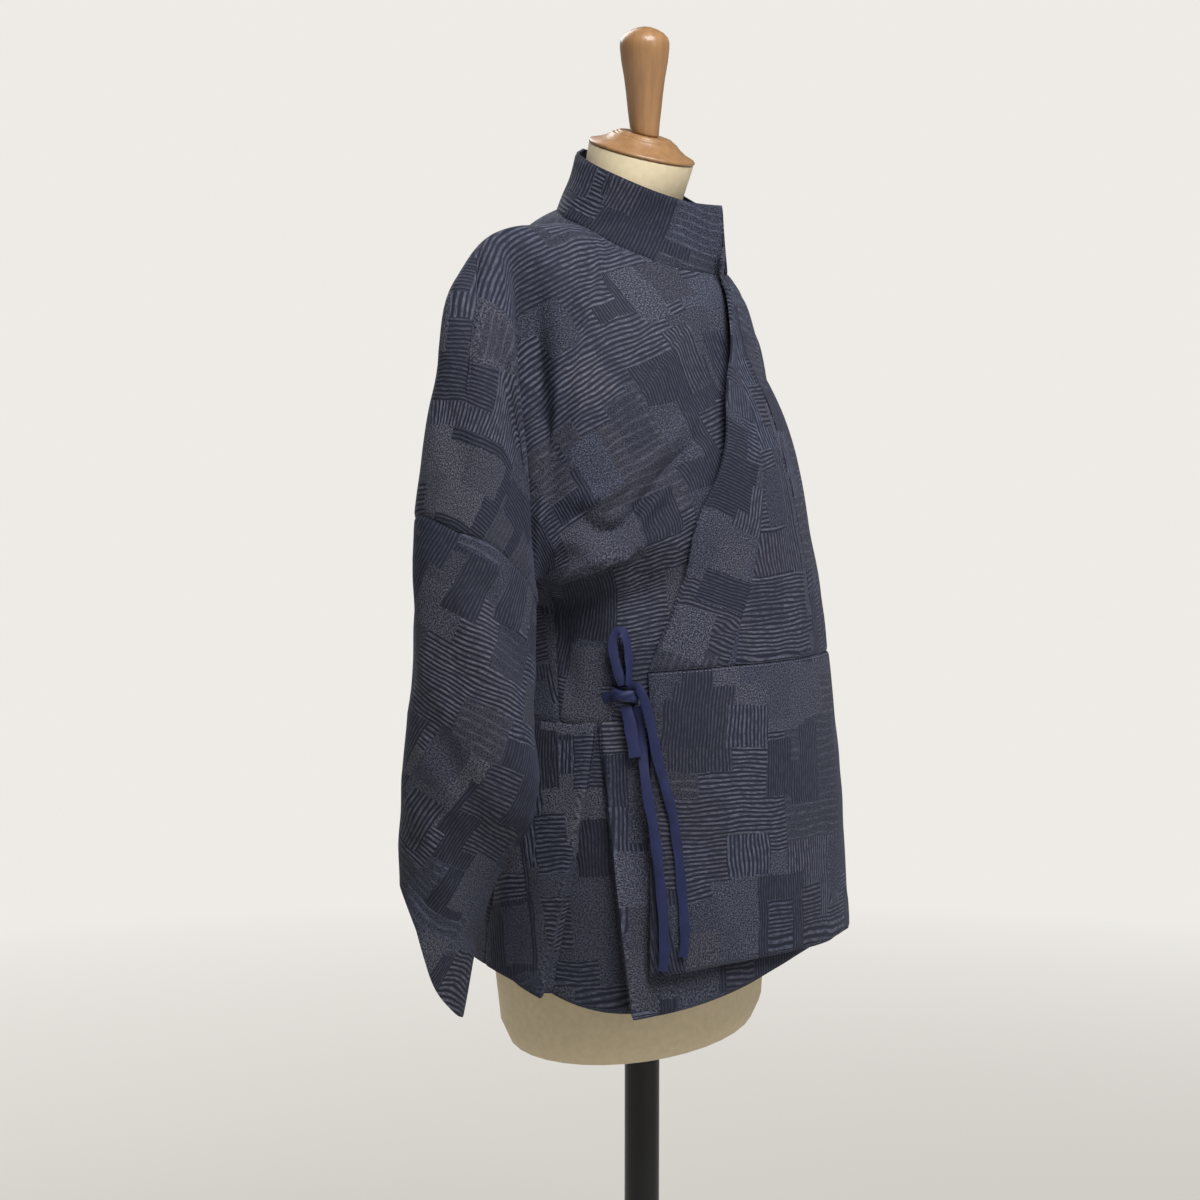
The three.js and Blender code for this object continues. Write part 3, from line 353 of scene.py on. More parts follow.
def on_sections(sections, place):
    """Points on sections: place 0 is the front edge, 1 the seam, 2 the back edge."""
    front = place <= 1
    t = np.where(front, place, 2 - place)[:, None]
    a, b, c, d = (np.where(front[:, None], sections[:, i], sections[:, 6 - i]) for i in range(4))
    s = 1 - t
    return s ** 3 * a + 3 * s * s * t * b + 3 * s * t * t * c + t ** 3 * d


def cloth_at(row, place):
    """The right half's inner face at rows and places of one shape."""
    row, place = np.broadcast_arrays(np.asarray(row, float), np.asarray(place, float))
    sections = smooth_at(SECTIONS, row.ravel())
    joined = row.ravel() >= NECK_POINT_ROW
    sections[joined, 6] = sections[joined, 0]
    return on_sections(sections, place.ravel()).reshape(row.shape + (3,))


def cloth_normal(row, place, d=0.02):
    low = np.maximum(row - d, 0)
    left = np.maximum(place - d, 0)
    up = cloth_at(low + 2 * d, place) - cloth_at(low, place)
    across = cloth_at(row, left + 2 * d) - cloth_at(row, left)
    return unit(np.cross(up, across))


def left_out(place):
    """How far the left front stands forward of the right one's mirror image."""
    across = np.maximum(0, 1 - place / LAP_BLEND)
    return LAYER * across ** 2 * (3 - 2 * across)


def left_at(row, place):
    row, place = np.broadcast_arrays(np.asarray(row, float), np.asarray(place, float))
    up = np.where(row <= NECK_ROW, 1, np.maximum(0, 1 - (row - NECK_ROW) / LAP_BLEND_ROWS))
    p = cloth_at(row, place) + cloth_normal(row, place) * (left_out(place) * up)[..., None]
    p[(place == 0) & (row <= NECK_ROW), 0] = 0
    return p * (-1, 1, 1)


def row_at_height(place, z):
    """The row, up to the first above the waist, whose section crosses a place at z."""
    low, high = np.zeros_like(place), np.ones_like(place)
    for _ in range(30):
        middle = (low + high) / 2
        below = cloth_at(middle, place)[..., 2] < z
        low, high = np.where(below, middle, low), np.where(below, high, middle)
    return low


def outer_seam(place):
    return look_up(OUTER_PEPLUM[:, 0], OUTER_PEPLUM[:, 1], place)


def spread(a, b, count):
    """Even steps from a to b, with closer ones next to both ends."""
    ends = np.array([0.12, 0.35, 0.7]) / count
    shares = np.concatenate([np.linspace(0, 1, count + 1), ends, 1 - ends])
    return a + (b - a) * np.unique(np.round(shares, 6))


def lap_column(row, column):
    return look_up(LAP_EDGE[:, 0], LAP_EDGE[:, column], row)


def lap_at(row, place, height_row=None):
    """The lapped front: the right front's points, moved out towards the free edge."""
    table_row = row if height_row is None else height_row
    share = place / lap_column(table_row, 1)
    out = LAYER + (lap_column(table_row, 2) - LAYER) * share ** 2
    p = cloth_at(row, place) + cloth_normal(row, place) * out[..., None]
    p[place == 0, 0] = 0
    return p


def lap_grid(from_line, to_line, across, up):
    """Inner points of the lap between two of its lines: centre, seam, edge."""
    rows = spread(0, NECK_ROW, up)
    table_row = np.where(rows < 1, 0.75 + 0.25 * rows, rows)
    edge, band = lap_column(table_row, 1), lap_column(table_row, 3)
    lines = {"centre": 0 * edge, "seam": np.maximum(edge - band, edge * LAP_SEAM_LEAST),
             "edge": edge}
    share = spread(0, 1, across)[None, :]
    place = lines[from_line][:, None] * (1 - share) + lines[to_line][:, None] * share
    start = row_at_height(place, outer_seam(place))
    row = np.where(rows[:, None] < 1, start + (1 - start) * rows[:, None], rows[:, None])
    points = lap_at(row, place, np.broadcast_to(table_row[:, None], place.shape))
    if to_line != "edge":
        return points
    rise = np.array([0.2, 0.4, 0.6, 0.8, 0.94, 1.0])[:, None, None]
    corner = points[-1][None] + rise * np.array([0, -LAP_CORNER_LEAN, LAP_CORNER_RISE])
    return np.concatenate([points, corner])


def plain_peplum(place, down):
    """The peplum with no pleat: down is 0 at the waist seam and 1 at the hem."""
    waist = cloth_at(np.zeros_like(place), place)
    hem = on_sections(np.broadcast_to(HEM, (place.size, 7, 3)), place.ravel())
    out = waist * (1, 1, 0)
    belly = PEPLUM_BELLY * np.sin(np.pi * down)
    t = down[..., None]
    return waist * (1 - t) + hem.reshape(waist.shape) * t + unit(out) * belly[..., None]


def pleat_at(place):
    hem = np.interp(place, [0, *PLEAT[:, 0], 2], [0, *PLEAT[:, 1], 2])
    return hem, np.interp(place, PLEAT[:, 0], PLEAT[:, 2], left=0, right=0)


def peplum_at(place, down):
    hem, out = pleat_at(place)
    t = place + (hem - place) * down
    step = 0.01
    along = (plain_peplum(np.minimum(t + step, 2), down)
             - plain_peplum(np.maximum(t - step, 0), down))
    inward = unit(np.stack([along[..., 1], -along[..., 0], 0 * t], -1))
    inward[place >= 2] = (0, 1, 0)
    inward[place <= 0] = (0, -1, 0)
    return plain_peplum(t, down) + inward * (-out * down ** PLEAT_OPENING)[..., None]


def under_at(place, z):
    """The cloth under the outer peplum, at places and heights of one shape."""
    down = np.linspace(1, 0, 25)
    rows = np.linspace(0, 2, 13)[1:]
    result = np.empty(place.shape + (3,))
    for index in np.ndindex(place.shape):
        at = np.full(25, place[index])
        line = np.concatenate([plain_peplum(at, down), cloth_at(rows, at[:12])])
        for axis in range(3):
            result[index][axis] = np.interp(z[index], line[:, 2], line[:, axis])
    return result


def outer_peplum_at(place, down):
    """The outer peplum; negative places lie on the wearer's left, where it has its pleat."""
    place, down = np.broadcast_arrays(place, down)
    own = np.abs(place)
    hem, pleat_out = pleat_at(own)
    left = place < 0
    at = np.where(left, own + (hem - own) * down, own)
    hem_z = look_up(OUTER_PEPLUM[:, 0], OUTER_PEPLUM[:, 2], place)
    z = outer_seam(place) * (1 - down) + hem_z * down
    p, q = under_at(at, z), under_at(at + 0.02, z)
    outward = unit(np.stack([p[..., 1] - q[..., 1], q[..., 0] - p[..., 0], 0 * at], -1))
    outward[own == 0] = (0, -1, 0)
    flare = 1 + OUTER_FLARE * down
    stand = np.where(left, left_out(at) * flare + pleat_out * down ** PLEAT_OPENING,
                     LAYER * flare)
    p = p + outward * stand[..., None]
    return np.where(left[..., None], p * (-1, 1, 1), p)


def collar_half(base_steps, shares, left):
    """The collar's right or left half, from the neckline to the top edge."""
    steps = np.asarray(base_steps, float)
    neck_point = COLLAR_STEPS / 2
    front = steps <= neck_point
    row = np.where(front, NECK_ROW + steps / 2, NECK_POINT_ROW - (steps - neck_point) / 2)
    at_front = left_at(row, 0 * row) if left else cloth_at(row, 0 * row)
    at_back = cloth_at(row, 0 * row + 2) * ((-1, 1, 1) if left else 1)
    base = np.where(front[:, None], at_front, at_back)
    top = smooth_at(COLLAR_TOP, steps / COLLAR_STEPS * (len(COLLAR_TOP) - 1))
    edge = top[:, :3].copy()
    if left:
        edge = (edge - np.stack([0 * steps, top[:, 3], top[:, 4]], -1)) * (-1, 1, 1)
    t = np.asarray(shares)[:, None, None]
    q = base[None] * (1 - t) + edge[None] * t
    inward = unit(np.stack([-q[..., 0], NECK_MIDDLE_Y - q[..., 1], 0 * q[..., 0]], -1))
    fade = np.minimum(1, np.abs(q[..., 0]) / COLLAR_HOLLOW_FADE)
    return q + inward * (4 * t[..., 0] * (1 - t[..., 0]) * COLLAR_HOLLOW * fade)[..., None]


# ---------------------------------------------------------------- flat cuts
def flatten(grids, up, tags=()):
    """Lays grids of points flat as one cut piece and returns their places in mm.

    up is two (grid, i, j) corners: the grain runs from the first to the second.  Grids share
    a vertex where their points meet within 0.05 mm, but for the columns in tags, where they
    are cut apart."""
    mesh = bpy.data.meshes.new("flat_cut")
    keys, points, faces, ids = {}, [], [], []
    for g, grid in enumerate(grids):
        own = np.empty(grid.shape[:2], int)
        for i, j in np.ndindex(own.shape):
            cut = (g, j % own.shape[1]) in tags
            key = (g, i, j) if cut else tuple(np.round(grid[i, j] * 20).astype(int))
            if key not in keys:
                keys[key] = len(points)
                points.append(grid[i, j])
            own[i, j] = keys[key]
        ids.append(own)
        for i in range(own.shape[0] - 1):
            for j in range(own.shape[1] - 1):
                corners = [own[i, j], own[i + 1, j], own[i + 1, j + 1], own[i, j + 1]]
                corners = list(dict.fromkeys(corners))
                if len(corners) > 2:
                    faces.append(corners)
    mesh.from_pydata([tuple(p * MM) for p in points], [], faces)
    obj = bpy.data.objects.new("flat_cut", mesh)
    bpy.context.scene.collection.objects.link(obj)
    bpy.ops.object.select_all(action="DESELECT")
    bpy.context.view_layer.objects.active = obj
    obj.select_set(True)
    bpy.ops.object.mode_set(mode="EDIT")
    bpy.ops.mesh.select_all(action="SELECT")
    bpy.ops.uv.unwrap(method="MINIMUM_STRETCH", margin=0.0)
    bpy.ops.object.mode_set(mode="OBJECT")
    layer = mesh.uv_layers.active.data
    flat = np.zeros((len(points), 2))
    for loop in mesh.loops:
        flat[loop.vertex_index] = layer[loop.index].uv
    ends = np.array([tuple(edge.vertices) for edge in mesh.edges])
    xyz = np.array(points)
    real = np.linalg.norm(xyz[ends[:, 0]] - xyz[ends[:, 1]], axis=1).sum()
    drawn = np.linalg.norm(flat[ends[:, 0]] - flat[ends[:, 1]], axis=1).sum()
    flat *= real / drawn
    bpy.data.objects.remove(obj)
    bpy.data.meshes.remove(mesh)
    (g0, i0, j0), (g1, i1, j1) = up
    origin = flat[ids[g0][i0, j0]]
    way = unit(flat[ids[g1][i1, j1]] - origin)
    turn = np.array([[way[1], -way[0]], [way[0], way[1]]])
    flat = (flat - origin) @ turn.T
    return [flat[own] for own in ids]


def turned(flat, angle):
    """Flat places turned by an angle, so that the grain leans."""
    turn = np.array([[math.cos(angle), math.sin(angle)], [-math.sin(angle), math.cos(angle)]])
    return flat @ turn


def resample(coarse, coarse_i, coarse_j, i, j):
    """Reads a coarse grid's values at finer rows i and columns j, arrays of one shape."""
    a = np.clip(np.interp(i, coarse_i, np.arange(len(coarse_i))), 0, len(coarse_i) - 1.000001)
    b = np.clip(np.interp(j, coarse_j, np.arange(len(coarse_j))), 0, len(coarse_j) - 1.000001)
    a0, b0 = a.astype(int), b.astype(int)
    s, t = (a - a0)[..., None], (b - b0)[..., None]
    return ((coarse[a0, b0] * (1 - s) + coarse[a0 + 1, b0] * s) * (1 - t)
            + (coarse[a0, b0 + 1] * (1 - s) + coarse[a0 + 1, b0 + 1] * s) * t)


def panel_cut(points, row_step, column_step, grain_column):
    """Flat places of a fine grid, from a coarse one laid flat along its grain column."""
    n, m = points.shape[:2]
    rows = np.unique([*range(0, n, row_step), n - 1])
    columns = np.unique([*range(0, m, column_step), m - 1])
    cut, = flatten([points[np.ix_(rows, columns)]],
                   ((0, 0, grain_column), (0, -1, grain_column)))
    i, j = np.meshgrid(np.arange(n), np.arange(m), indexing="ij")
    return resample(cut, rows, columns, i, j)


# ---------------------------------------------------------------- folds
def fold_height(points, folds):
    """Height of soft ridges (+) and troughs (-) that run along given lines."""
    height = np.zeros(points.shape[:-1])
    for line, width, depth in folds:
        line = smooth_at(line, np.linspace(0, len(line) - 1, 8 * (len(line) - 1) + 1))
        a, b = line[:-1], line[1:]
        run = np.linalg.norm(b - a, axis=1)
        start = np.concatenate([[0], np.cumsum(run)[:-1]])
        offset = points[..., None, :] - a
        t = np.clip((offset * (b - a)).sum(-1) / np.maximum(run ** 2, 1e-9), 0, 1)
        away = np.linalg.norm(offset - t[..., None] * (b - a), axis=-1)
        near = away.argmin(-1)
        pick = np.take_along_axis
        distance = pick(away, near[..., None], -1)[..., 0]
        share = (start[near] + pick(t, near[..., None], -1)[..., 0] * run[near]) / run.sum()
        taper = np.sin(np.pi * np.clip(share, 0, 1)) ** 0.7
        x = (distance / width) ** 2
        height += depth * (1 - 0.6 * x) * np.exp(-x) * taper
    return height


def ripple(flat, seed):
    """The uneven lie of a woven cloth: waves 60 to 150 mm long and under half a mm high."""
    u, v = flat[..., 0], flat[..., 1]
    return (0.45 * np.sin(u / 17 + 2.1 * np.sin(v / 71 + seed) + seed)
            + 0.40 * np.sin(v / 23 + 1.7 * np.sin(u / 53 + 2 * seed))
            + 0.22 * np.sin((u + v) / 9.5 + 1.3 * np.sin((u - v) / 31 + seed)))


def grid_normal(points, flip):
    """The outward normal at each point of a grid."""
    up, across = np.gradient(points, axis=0), np.gradient(points, axis=1)
    return unit(np.cross(up, across)) * (-1 if flip else 1)


def border_distance(points, side):
    """Distance in mm from each point to one border: bottom, top, start or end."""
    axis = 0 if side in ("bottom", "top") else 1
    step = np.linalg.norm(np.diff(points, axis=axis), axis=-1)
    pad = [(1, 0) if k == axis else (0, 0) for k in range(2)]
    run = np.cumsum(np.pad(step, pad), axis=axis)
    if side in ("bottom", "start"):
        return run
    return (run[-1:] if axis == 0 else run[:, -1:]) - run


def dressed(points, flat, flip, folds=(), borders=(), seed=0.0, lie=1.0):
    """Outer points of a sheet: its inner points moved out by the wall, folds and seams."""
    sizes = bpy.context.scene.wrap_top_sizes
    out = sizes.wall / MM + fold_height(points, folds) * sizes.fold_depth
    out = out + ripple(flat, seed) * lie
    for side in borders:
        away = border_distance(points, side)
        out = out - sizes.groove / MM * np.exp(-(away / GROOVE_WIDTH) ** 2)
    return points + grid_normal(points, flip) * out[..., None]


def underarm_lip(points, outer, rows, places, flip):
    """Folds the cloth over at the underarm: a lip hangs over the side below it."""
    run = border_distance(points, "bottom")
    lip = np.interp(places, LIP[:, 0], LIP[:, 1])
    size = np.interp(places, LIP[:, 0], LIP[:, 2])
    start = np.array([np.interp(lip[j], rows[:, j], run[:, j]) for j in range(len(places))])
    away = run - start
    # The lip stands out over its first 3 mm and fades within about 15 mm; the cloth under it
    # is tucked in, and comes back within about 30 mm.
    step = np.clip(away / 3 + 0.5, 0, 1)
    over = LIP_OVER * np.exp(-(np.maximum(away - 3, 0) / 11) ** 2)
    under = -LIP_UNDER * np.exp(-(np.minimum(away, 0) / 20) ** 2)
    out = (over * step + under * (1 - step)) * size
    droop = -LIP_DROOP * np.exp(-((away - 2) / 8) ** 2) * size
    up = unit(np.gradient(points, axis=0))
    return outer + grid_normal(points, flip) * out[..., None] + up * droop[..., None]


def make_shell(name, sheets, wall, slot, flips):
    """A piece of cloth from grids of outer points with their flat places, given its wall.

    flips says which grids run the other way round, so that all faces point outwards."""
    mesh = bpy.data.meshes.new(name)
    points, faces, uvs = [], [], []
    for (grid, flat), flip in zip(sheets, flips):
        n, m = grid.shape[:2]
        base = len(points)
        points.extend(grid.reshape(-1, 3) * MM)
        flat = flat.reshape(-1, 2) / UV_SPAN
        for i in range(n - 1):
            for j in range(m - 1):
                a = base + i * m + j
                corners = [a, a + m, a + m + 1, a + 1]
                if flip:
                    corners.reverse()
                faces.append(corners)
                uvs.extend(flat[c - base] for c in corners)
    mesh.from_pydata([tuple(p) for p in points], [], faces)
    layer = mesh.uv_layers.new(name="Weave")
    layer.data.foreach_set("uv", np.array(uvs, np.float32).ravel())
    obj = bpy.data.objects.new(name, mesh)
    bpy.context.scene.collection.objects.link(obj)
    bm = bmesh.new()
    bm.from_mesh(mesh)
    bmesh.ops.remove_doubles(bm, verts=bm.verts, dist=WELD_DISTANCE)
    bmesh.ops.recalc_face_normals(bm, faces=bm.faces)
    bm.to_mesh(mesh)
    bm.free()
    add_wall(obj, wall)
    bpy.ops.object.shade_smooth_by_angle(angle=math.radians(CLOTH_SMOOTHING))
    obj.data.materials.append(MATERIALS[slot])
    return obj


def apply_modifiers(obj):
    bpy.ops.object.select_all(action="DESELECT")
    bpy.context.view_layer.objects.active = obj
    obj.select_set(True)
    for modifier in list(obj.modifiers):
        bpy.ops.object.modifier_apply(modifier=modifier.name)


def add_wall(obj, wall):
    shell = obj.modifiers.new("Wall", "SOLIDIFY")
    shell.thickness = wall
    shell.offset = -1
    shell.use_even_offset = False
    apply_modifiers(obj)


def declare(obj, node):
    """Hangs the piece from the root, and hides the solid that it replaces."""
    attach(obj, "root")
    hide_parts(node)


# ---------------------------------------------------------------- materials
MATERIALS = {}


def add(tree, kind, *inputs, out=0, **settings):
    """Adds a node with its settings, fills or links its inputs in order, gives an output."""
    node = tree.nodes.new(kind)
    for key, value in settings.items():
        setattr(node, key, value)
    for socket, value in zip(node.inputs, inputs):
        if isinstance(value, bpy.types.NodeSocket):
            tree.links.new(value, socket)
        elif value is not None:
            socket.default_value = value
    return node.outputs[out]


def new_material(name):
    material = bpy.data.materials.new(name)
    material.use_nodes = True
    tree = material.node_tree
    shader = next(n for n in tree.nodes if n.type == "BSDF_PRINCIPLED")
    return material, tree, shader


def set_surface(shader, values):
    for name, value in values.items():
        shader.inputs[name].default_value = value


def shade_colour(tree, shader, colour, pattern, darkest, palest):
    """Makes a colour vary between two shares of itself where a noise pattern does."""
    shade = add(tree, "ShaderNodeMapRange", pattern, 0.3, 0.7, darkest, palest)
    shaded = add(tree, "ShaderNodeVectorMath", colour, None, None, shade, operation="SCALE")
    tree.links.new(shaded, shader.inputs["Base Color"])


def raise_surface(tree, shader, pattern, strength, height):
    """Raises the surface by a pattern, up to a height in metres."""
    bump = add(tree, "ShaderNodeBump", strength, height, None, pattern)
    tree.links.new(bump, shader.inputs["Normal"])


def patches(tree, uv, width, height, seed, share, spare):
    """One layer of woven blocks: where a block lies, and a number that picks its weave.

    Columns of cells are shifted up by shares of their own, so that rows don't line up."""
    size = (width, height, 1)
    cell = add(tree, "ShaderNodeVectorMath", uv, size, operation="DIVIDE")
    column = add(tree, "ShaderNodeSeparateXYZ", cell)
    number = add(tree, "ShaderNodeMath", column, operation="FLOOR")
    number = add(tree, "ShaderNodeMath", number, seed, operation="ADD")
    jog = add(tree, "ShaderNodeTexWhiteNoise", None, number, noise_dimensions="1D")
    jog = add(tree, "ShaderNodeCombineXYZ", 0.0, jog, 0.0)
    cell = add(tree, "ShaderNodeVectorMath", cell, jog, operation="ADD")
    index = add(tree, "ShaderNodeVectorMath", cell, operation="FLOOR")
    index = add(tree, "ShaderNodeVectorMath", index, (seed, seed, seed), operation="ADD")
    chance = add(tree, "ShaderNodeTexWhiteNoise", index, noise_dimensions="3D")
    chances = add(tree, "ShaderNodeTexWhiteNoise", index, out=1, noise_dimensions="3D")
    within = add(tree, "ShaderNodeVectorMath", cell, operation="FRACTION")
    if spare == 0:
        return None, chance
    # Each block is narrower than its cell by a share of its own, and sits off its middle.
    centre = add(tree, "ShaderNodeVectorMath", chances, (0.5, 0.5, 0.5), operation="SUBTRACT")
    centre = add(tree, "ShaderNodeVectorMath", centre, (spare, spare, 0), operation="MULTIPLY")
    centre = add(tree, "ShaderNodeVectorMath", centre, (0.5, 0.5, 0.5), operation="ADD")
    off = add(tree, "ShaderNodeVectorMath", within, centre, operation="SUBTRACT")
    off = add(tree, "ShaderNodeVectorMath", off, operation="ABSOLUTE")
    parts = tree.nodes.new("ShaderNodeSeparateXYZ")
    tree.links.new(off, parts.inputs[0])
    far = add(tree, "ShaderNodeMath", parts.outputs[0], parts.outputs[1], operation="MAXIMUM")
    inside = add(tree, "ShaderNodeMath", far, 0.5 - spare / 2, operation="LESS_THAN")
    present = add(tree, "ShaderNodeMath", chance, share, operation="LESS_THAN")
    mask = add(tree, "ShaderNodeMath", inside, present, operation="MULTIPLY")
    kind = add(tree, "ShaderNodeMath", chance, 1 / share, operation="MULTIPLY")
    return mask, kind


def woven_jacquard(colours):
    """Cotton jacquard, woven in blocks of ribs, broken checks and fleck on an indigo ground.

    The yarn is matt with a faint bloom, and the ribs stand out by a few tenths of a
    millimetre, so they catch the light along their tops."""
    material, tree, shader = new_material("cotton_jacquard_woven")
    uv = add(tree, "ShaderNodeUVMap", uv_map="Weave")
    uv = add(tree, "ShaderNodeVectorMath", uv, (UV_SPAN, UV_SPAN, 0), operation="MULTIPLY")
    # Uneven tension makes the block edges and ribs wander by one or two millimetres.
    sway = add(tree, "ShaderNodeTexNoise", uv, None, 0.022, 1.0, out=1, noise_dimensions="2D")
    sway = add(tree, "ShaderNodeVectorMath", sway, (0.5, 0.5, 0.5), operation="SUBTRACT")
    sway = add(tree, "ShaderNodeVectorMath", sway, (6.0, 6.0, 0), operation="MULTIPLY")
    lie = add(tree, "ShaderNodeVectorMath", uv, sway, operation="ADD")
    hair = add(tree, "ShaderNodeTexNoise", uv, None, 0.33, 1.0, out=1, noise_dimensions="2D")
    hair = add(tree, "ShaderNodeVectorMath", hair, (0.5, 0.5, 0.5), operation="SUBTRACT")
    hair = add(tree, "ShaderNodeVectorMath", hair, (2.6, 2.6, 0), operation="MULTIPLY")
    edge = add(tree, "ShaderNodeVectorMath", lie, hair, operation="ADD")
    _, kind = patches(tree, edge, *GROUND_BLOCKS)
    for layer in BLOCK_LAYERS:
        mask, own = patches(tree, edge, *layer)
        kind = add(tree, "ShaderNodeMix", mask, None, kind, own, data_type="FLOAT")
    steps = [add(tree, "ShaderNodeMath", kind, limit, operation="GREATER_THAN")
             for limit in KIND_LIMITS]
    dark_ribs = add(tree, "ShaderNodeMath", steps[0], steps[1], operation="SUBTRACT")
    check = add(tree, "ShaderNodeMath", steps[2], steps[3], operation="SUBTRACT")
    upright = add(tree, "ShaderNodeMath", dark_ribs, steps[3], operation="ADD")
    parts = tree.nodes.new("ShaderNodeSeparateXYZ")
    tree.links.new(lie, parts.inputs[0])
    u, v = parts.outputs[0], parts.outputs[1]
    across = add(tree, "ShaderNodeMix", upright, None, v, u, data_type="FLOAT")
    along = add(tree, "ShaderNodeMix", upright, None, u, v, data_type="FLOAT")
    # Ribs 3.8 mm apart (dark ones 3, the check's lines 7) that wander and merge.
    long_way = add(tree, "ShaderNodeMath", along, 0.034, operation="MULTIPLY")
    short_way = add(tree, "ShaderNodeMath", across, 0.11, operation="MULTIPLY")
    drift = add(tree, "ShaderNodeCombineXYZ", long_way, short_way, 0.0)
    drift = add(tree, "ShaderNodeTexNoise", drift, None, 1.0, 1.0, noise_dimensions="2D")
    drift = add(tree, "ShaderNodeMath", drift, 0.5, operation="MULTIPLY")
    ribs = add(tree, "ShaderNodeMath", dark_ribs, DARK_RIBS_MORE, RIBS,
               operation="MULTIPLY_ADD")
    ribs = add(tree, "ShaderNodeMath", check, -CHECK_LINES_FEWER, ribs,
               operation="MULTIPLY_ADD")
    phase = add(tree, "ShaderNodeMath", across, ribs, drift, operation="MULTIPLY_ADD")
    phase = add(tree, "ShaderNodeMath", phase, 2 * math.pi, operation="MULTIPLY")
    rib = add(tree, "ShaderNodeMath", phase, operation="SINE")
    low = add(tree, "ShaderNodeMath", check, 0.7, -0.55, operation="MULTIPLY_ADD")
    high = add(tree, "ShaderNodeMath", check, 0.4, 0.6, operation="MULTIPLY_ADD")
    rib = add(tree, "ShaderNodeMapRange", rib, low, high, 0.0, 1.0)
    # Short breaks along the yarn.
    long_way = add(tree, "ShaderNodeMath", along, 0.14, operation="MULTIPLY")
    short_way = add(tree, "ShaderNodeMath", across, 0.42, operation="MULTIPLY")
    broken = add(tree, "ShaderNodeCombineXYZ", long_way, short_way, 0.0)
    broken = add(tree, "ShaderNodeTexNoise", broken, None, 1.0, 1.0, noise_dimensions="2D")
    broken = add(tree, "ShaderNodeMapRange", broken, 0.34, 0.62, 0.40, 1.0)
    rib = add(tree, "ShaderNodeMath", rib, broken, operation="MULTIPLY")
    # The check's cross lines, 6 mm apart and dashed.
    bar = add(tree, "ShaderNodeMath", along, 2 * math.pi / CROSS_LINE_PITCH,
              operation="MULTIPLY")
    bar = add(tree, "ShaderNodeMath", bar, operation="SINE")
    bar = add(tree, "ShaderNodeMapRange", bar, 0.5, 1.0, 0.0, 1.0)
    bar = add(tree, "ShaderNodeMath", bar, check, operation="MULTIPLY")
    dash = add(tree, "ShaderNodeTexNoise", uv, None, 0.16, 1.0, noise_dimensions="2D")
    dash = add(tree, "ShaderNodeMapRange", dash, 0.46, 0.58, 0.0, 0.55)
    bar = add(tree, "ShaderNodeMath", bar, dash, operation="MULTIPLY")
    rib = add(tree, "ShaderNodeMath", rib, bar, operation="MAXIMUM")
    # Fleck: pale and dark yarns that show as grains 1.5 to 2 mm across.
    fleck = add(tree, "ShaderNodeTexNoise", uv, None, FLECK_GRAINS, 2.0, 0.8,
                noise_dimensions="2D")
    fleck = add(tree, "ShaderNodeMapRange", fleck, 0.39, 0.61, 0.0, 1.0)
    # How pale each weave is between its two yarns.
    pale_ribs = add(tree, "ShaderNodeMapRange", rib, 0.0, 1.0, 0.00, 0.46)
    dim_ribs = add(tree, "ShaderNodeMapRange", rib, 0.0, 1.0, 0.00, 0.19)
    grain = add(tree, "ShaderNodeMapRange", fleck, 0.0, 1.0, 0.03, 0.45)
    yarn = add(tree, "ShaderNodeMix", steps[0], None, grain, pale_ribs, data_type="FLOAT")
    yarn = add(tree, "ShaderNodeMix", dark_ribs, None, yarn, dim_ribs, data_type="FLOAT")
    # The check's lines cross a ground of mixed yarns.
    mixed = add(tree, "ShaderNodeMath", check, grain, operation="MULTIPLY")
    mixed = add(tree, "ShaderNodeMath", mixed, 0.6, operation="MULTIPLY")
    yarn = add(tree, "ShaderNodeMath", yarn, mixed, operation="MAXIMUM")
    soften = add(tree, "ShaderNodeMapRange", fleck, 0.0, 1.0, 0.68, 1.16)
    yarn = add(tree, "ShaderNodeMath", yarn, soften, operation="MULTIPLY", use_clamp=True)
    # Each block's pale yarn is dyed a little bluer or greyer, and deeper, than the next one's.
    dye = add(tree, "ShaderNodeMath", kind, 7.3, operation="MULTIPLY")
    dye = add(tree, "ShaderNodeMath", dye, operation="FRACT")
    depth = add(tree, "ShaderNodeMath", kind, 19.7, operation="MULTIPLY")
    depth = add(tree, "ShaderNodeMath", depth, operation="FRACT")
    depth = add(tree, "ShaderNodeMapRange", depth, 0.0, 1.0, 0.66, 1.22)
    yarn = add(tree, "ShaderNodeMath", yarn, depth, operation="MULTIPLY")
    pale = add(tree, "ShaderNodeMix", dye, None, None, None, None, None,
               (*colours.light, 1), (*colours.blue, 1), data_type="RGBA", out=2)
    shown = add(tree, "ShaderNodeMix", yarn, None, None, None, None, None,
                (*colours.ground, 1), pale, data_type="RGBA", out=2)
    tree.links.new(shown, shader.inputs["Base Color"])
    set_surface(shader, {
        "Roughness": 0.82, "Specular IOR Level": 0.25, "Sheen Weight": 0.12,
        "Sheen Roughness": 0.45, "Sheen Tint": (*hex_colour("8e98b8"), 1)})
    flat = add(tree, "ShaderNodeMath", steps[0], check, operation="SUBTRACT")
    raised = add(tree, "ShaderNodeMix", flat, None, fleck, rib, data_type="FLOAT")
    raise_surface(tree, shader, raised, 0.8, 0.0008)
    return material


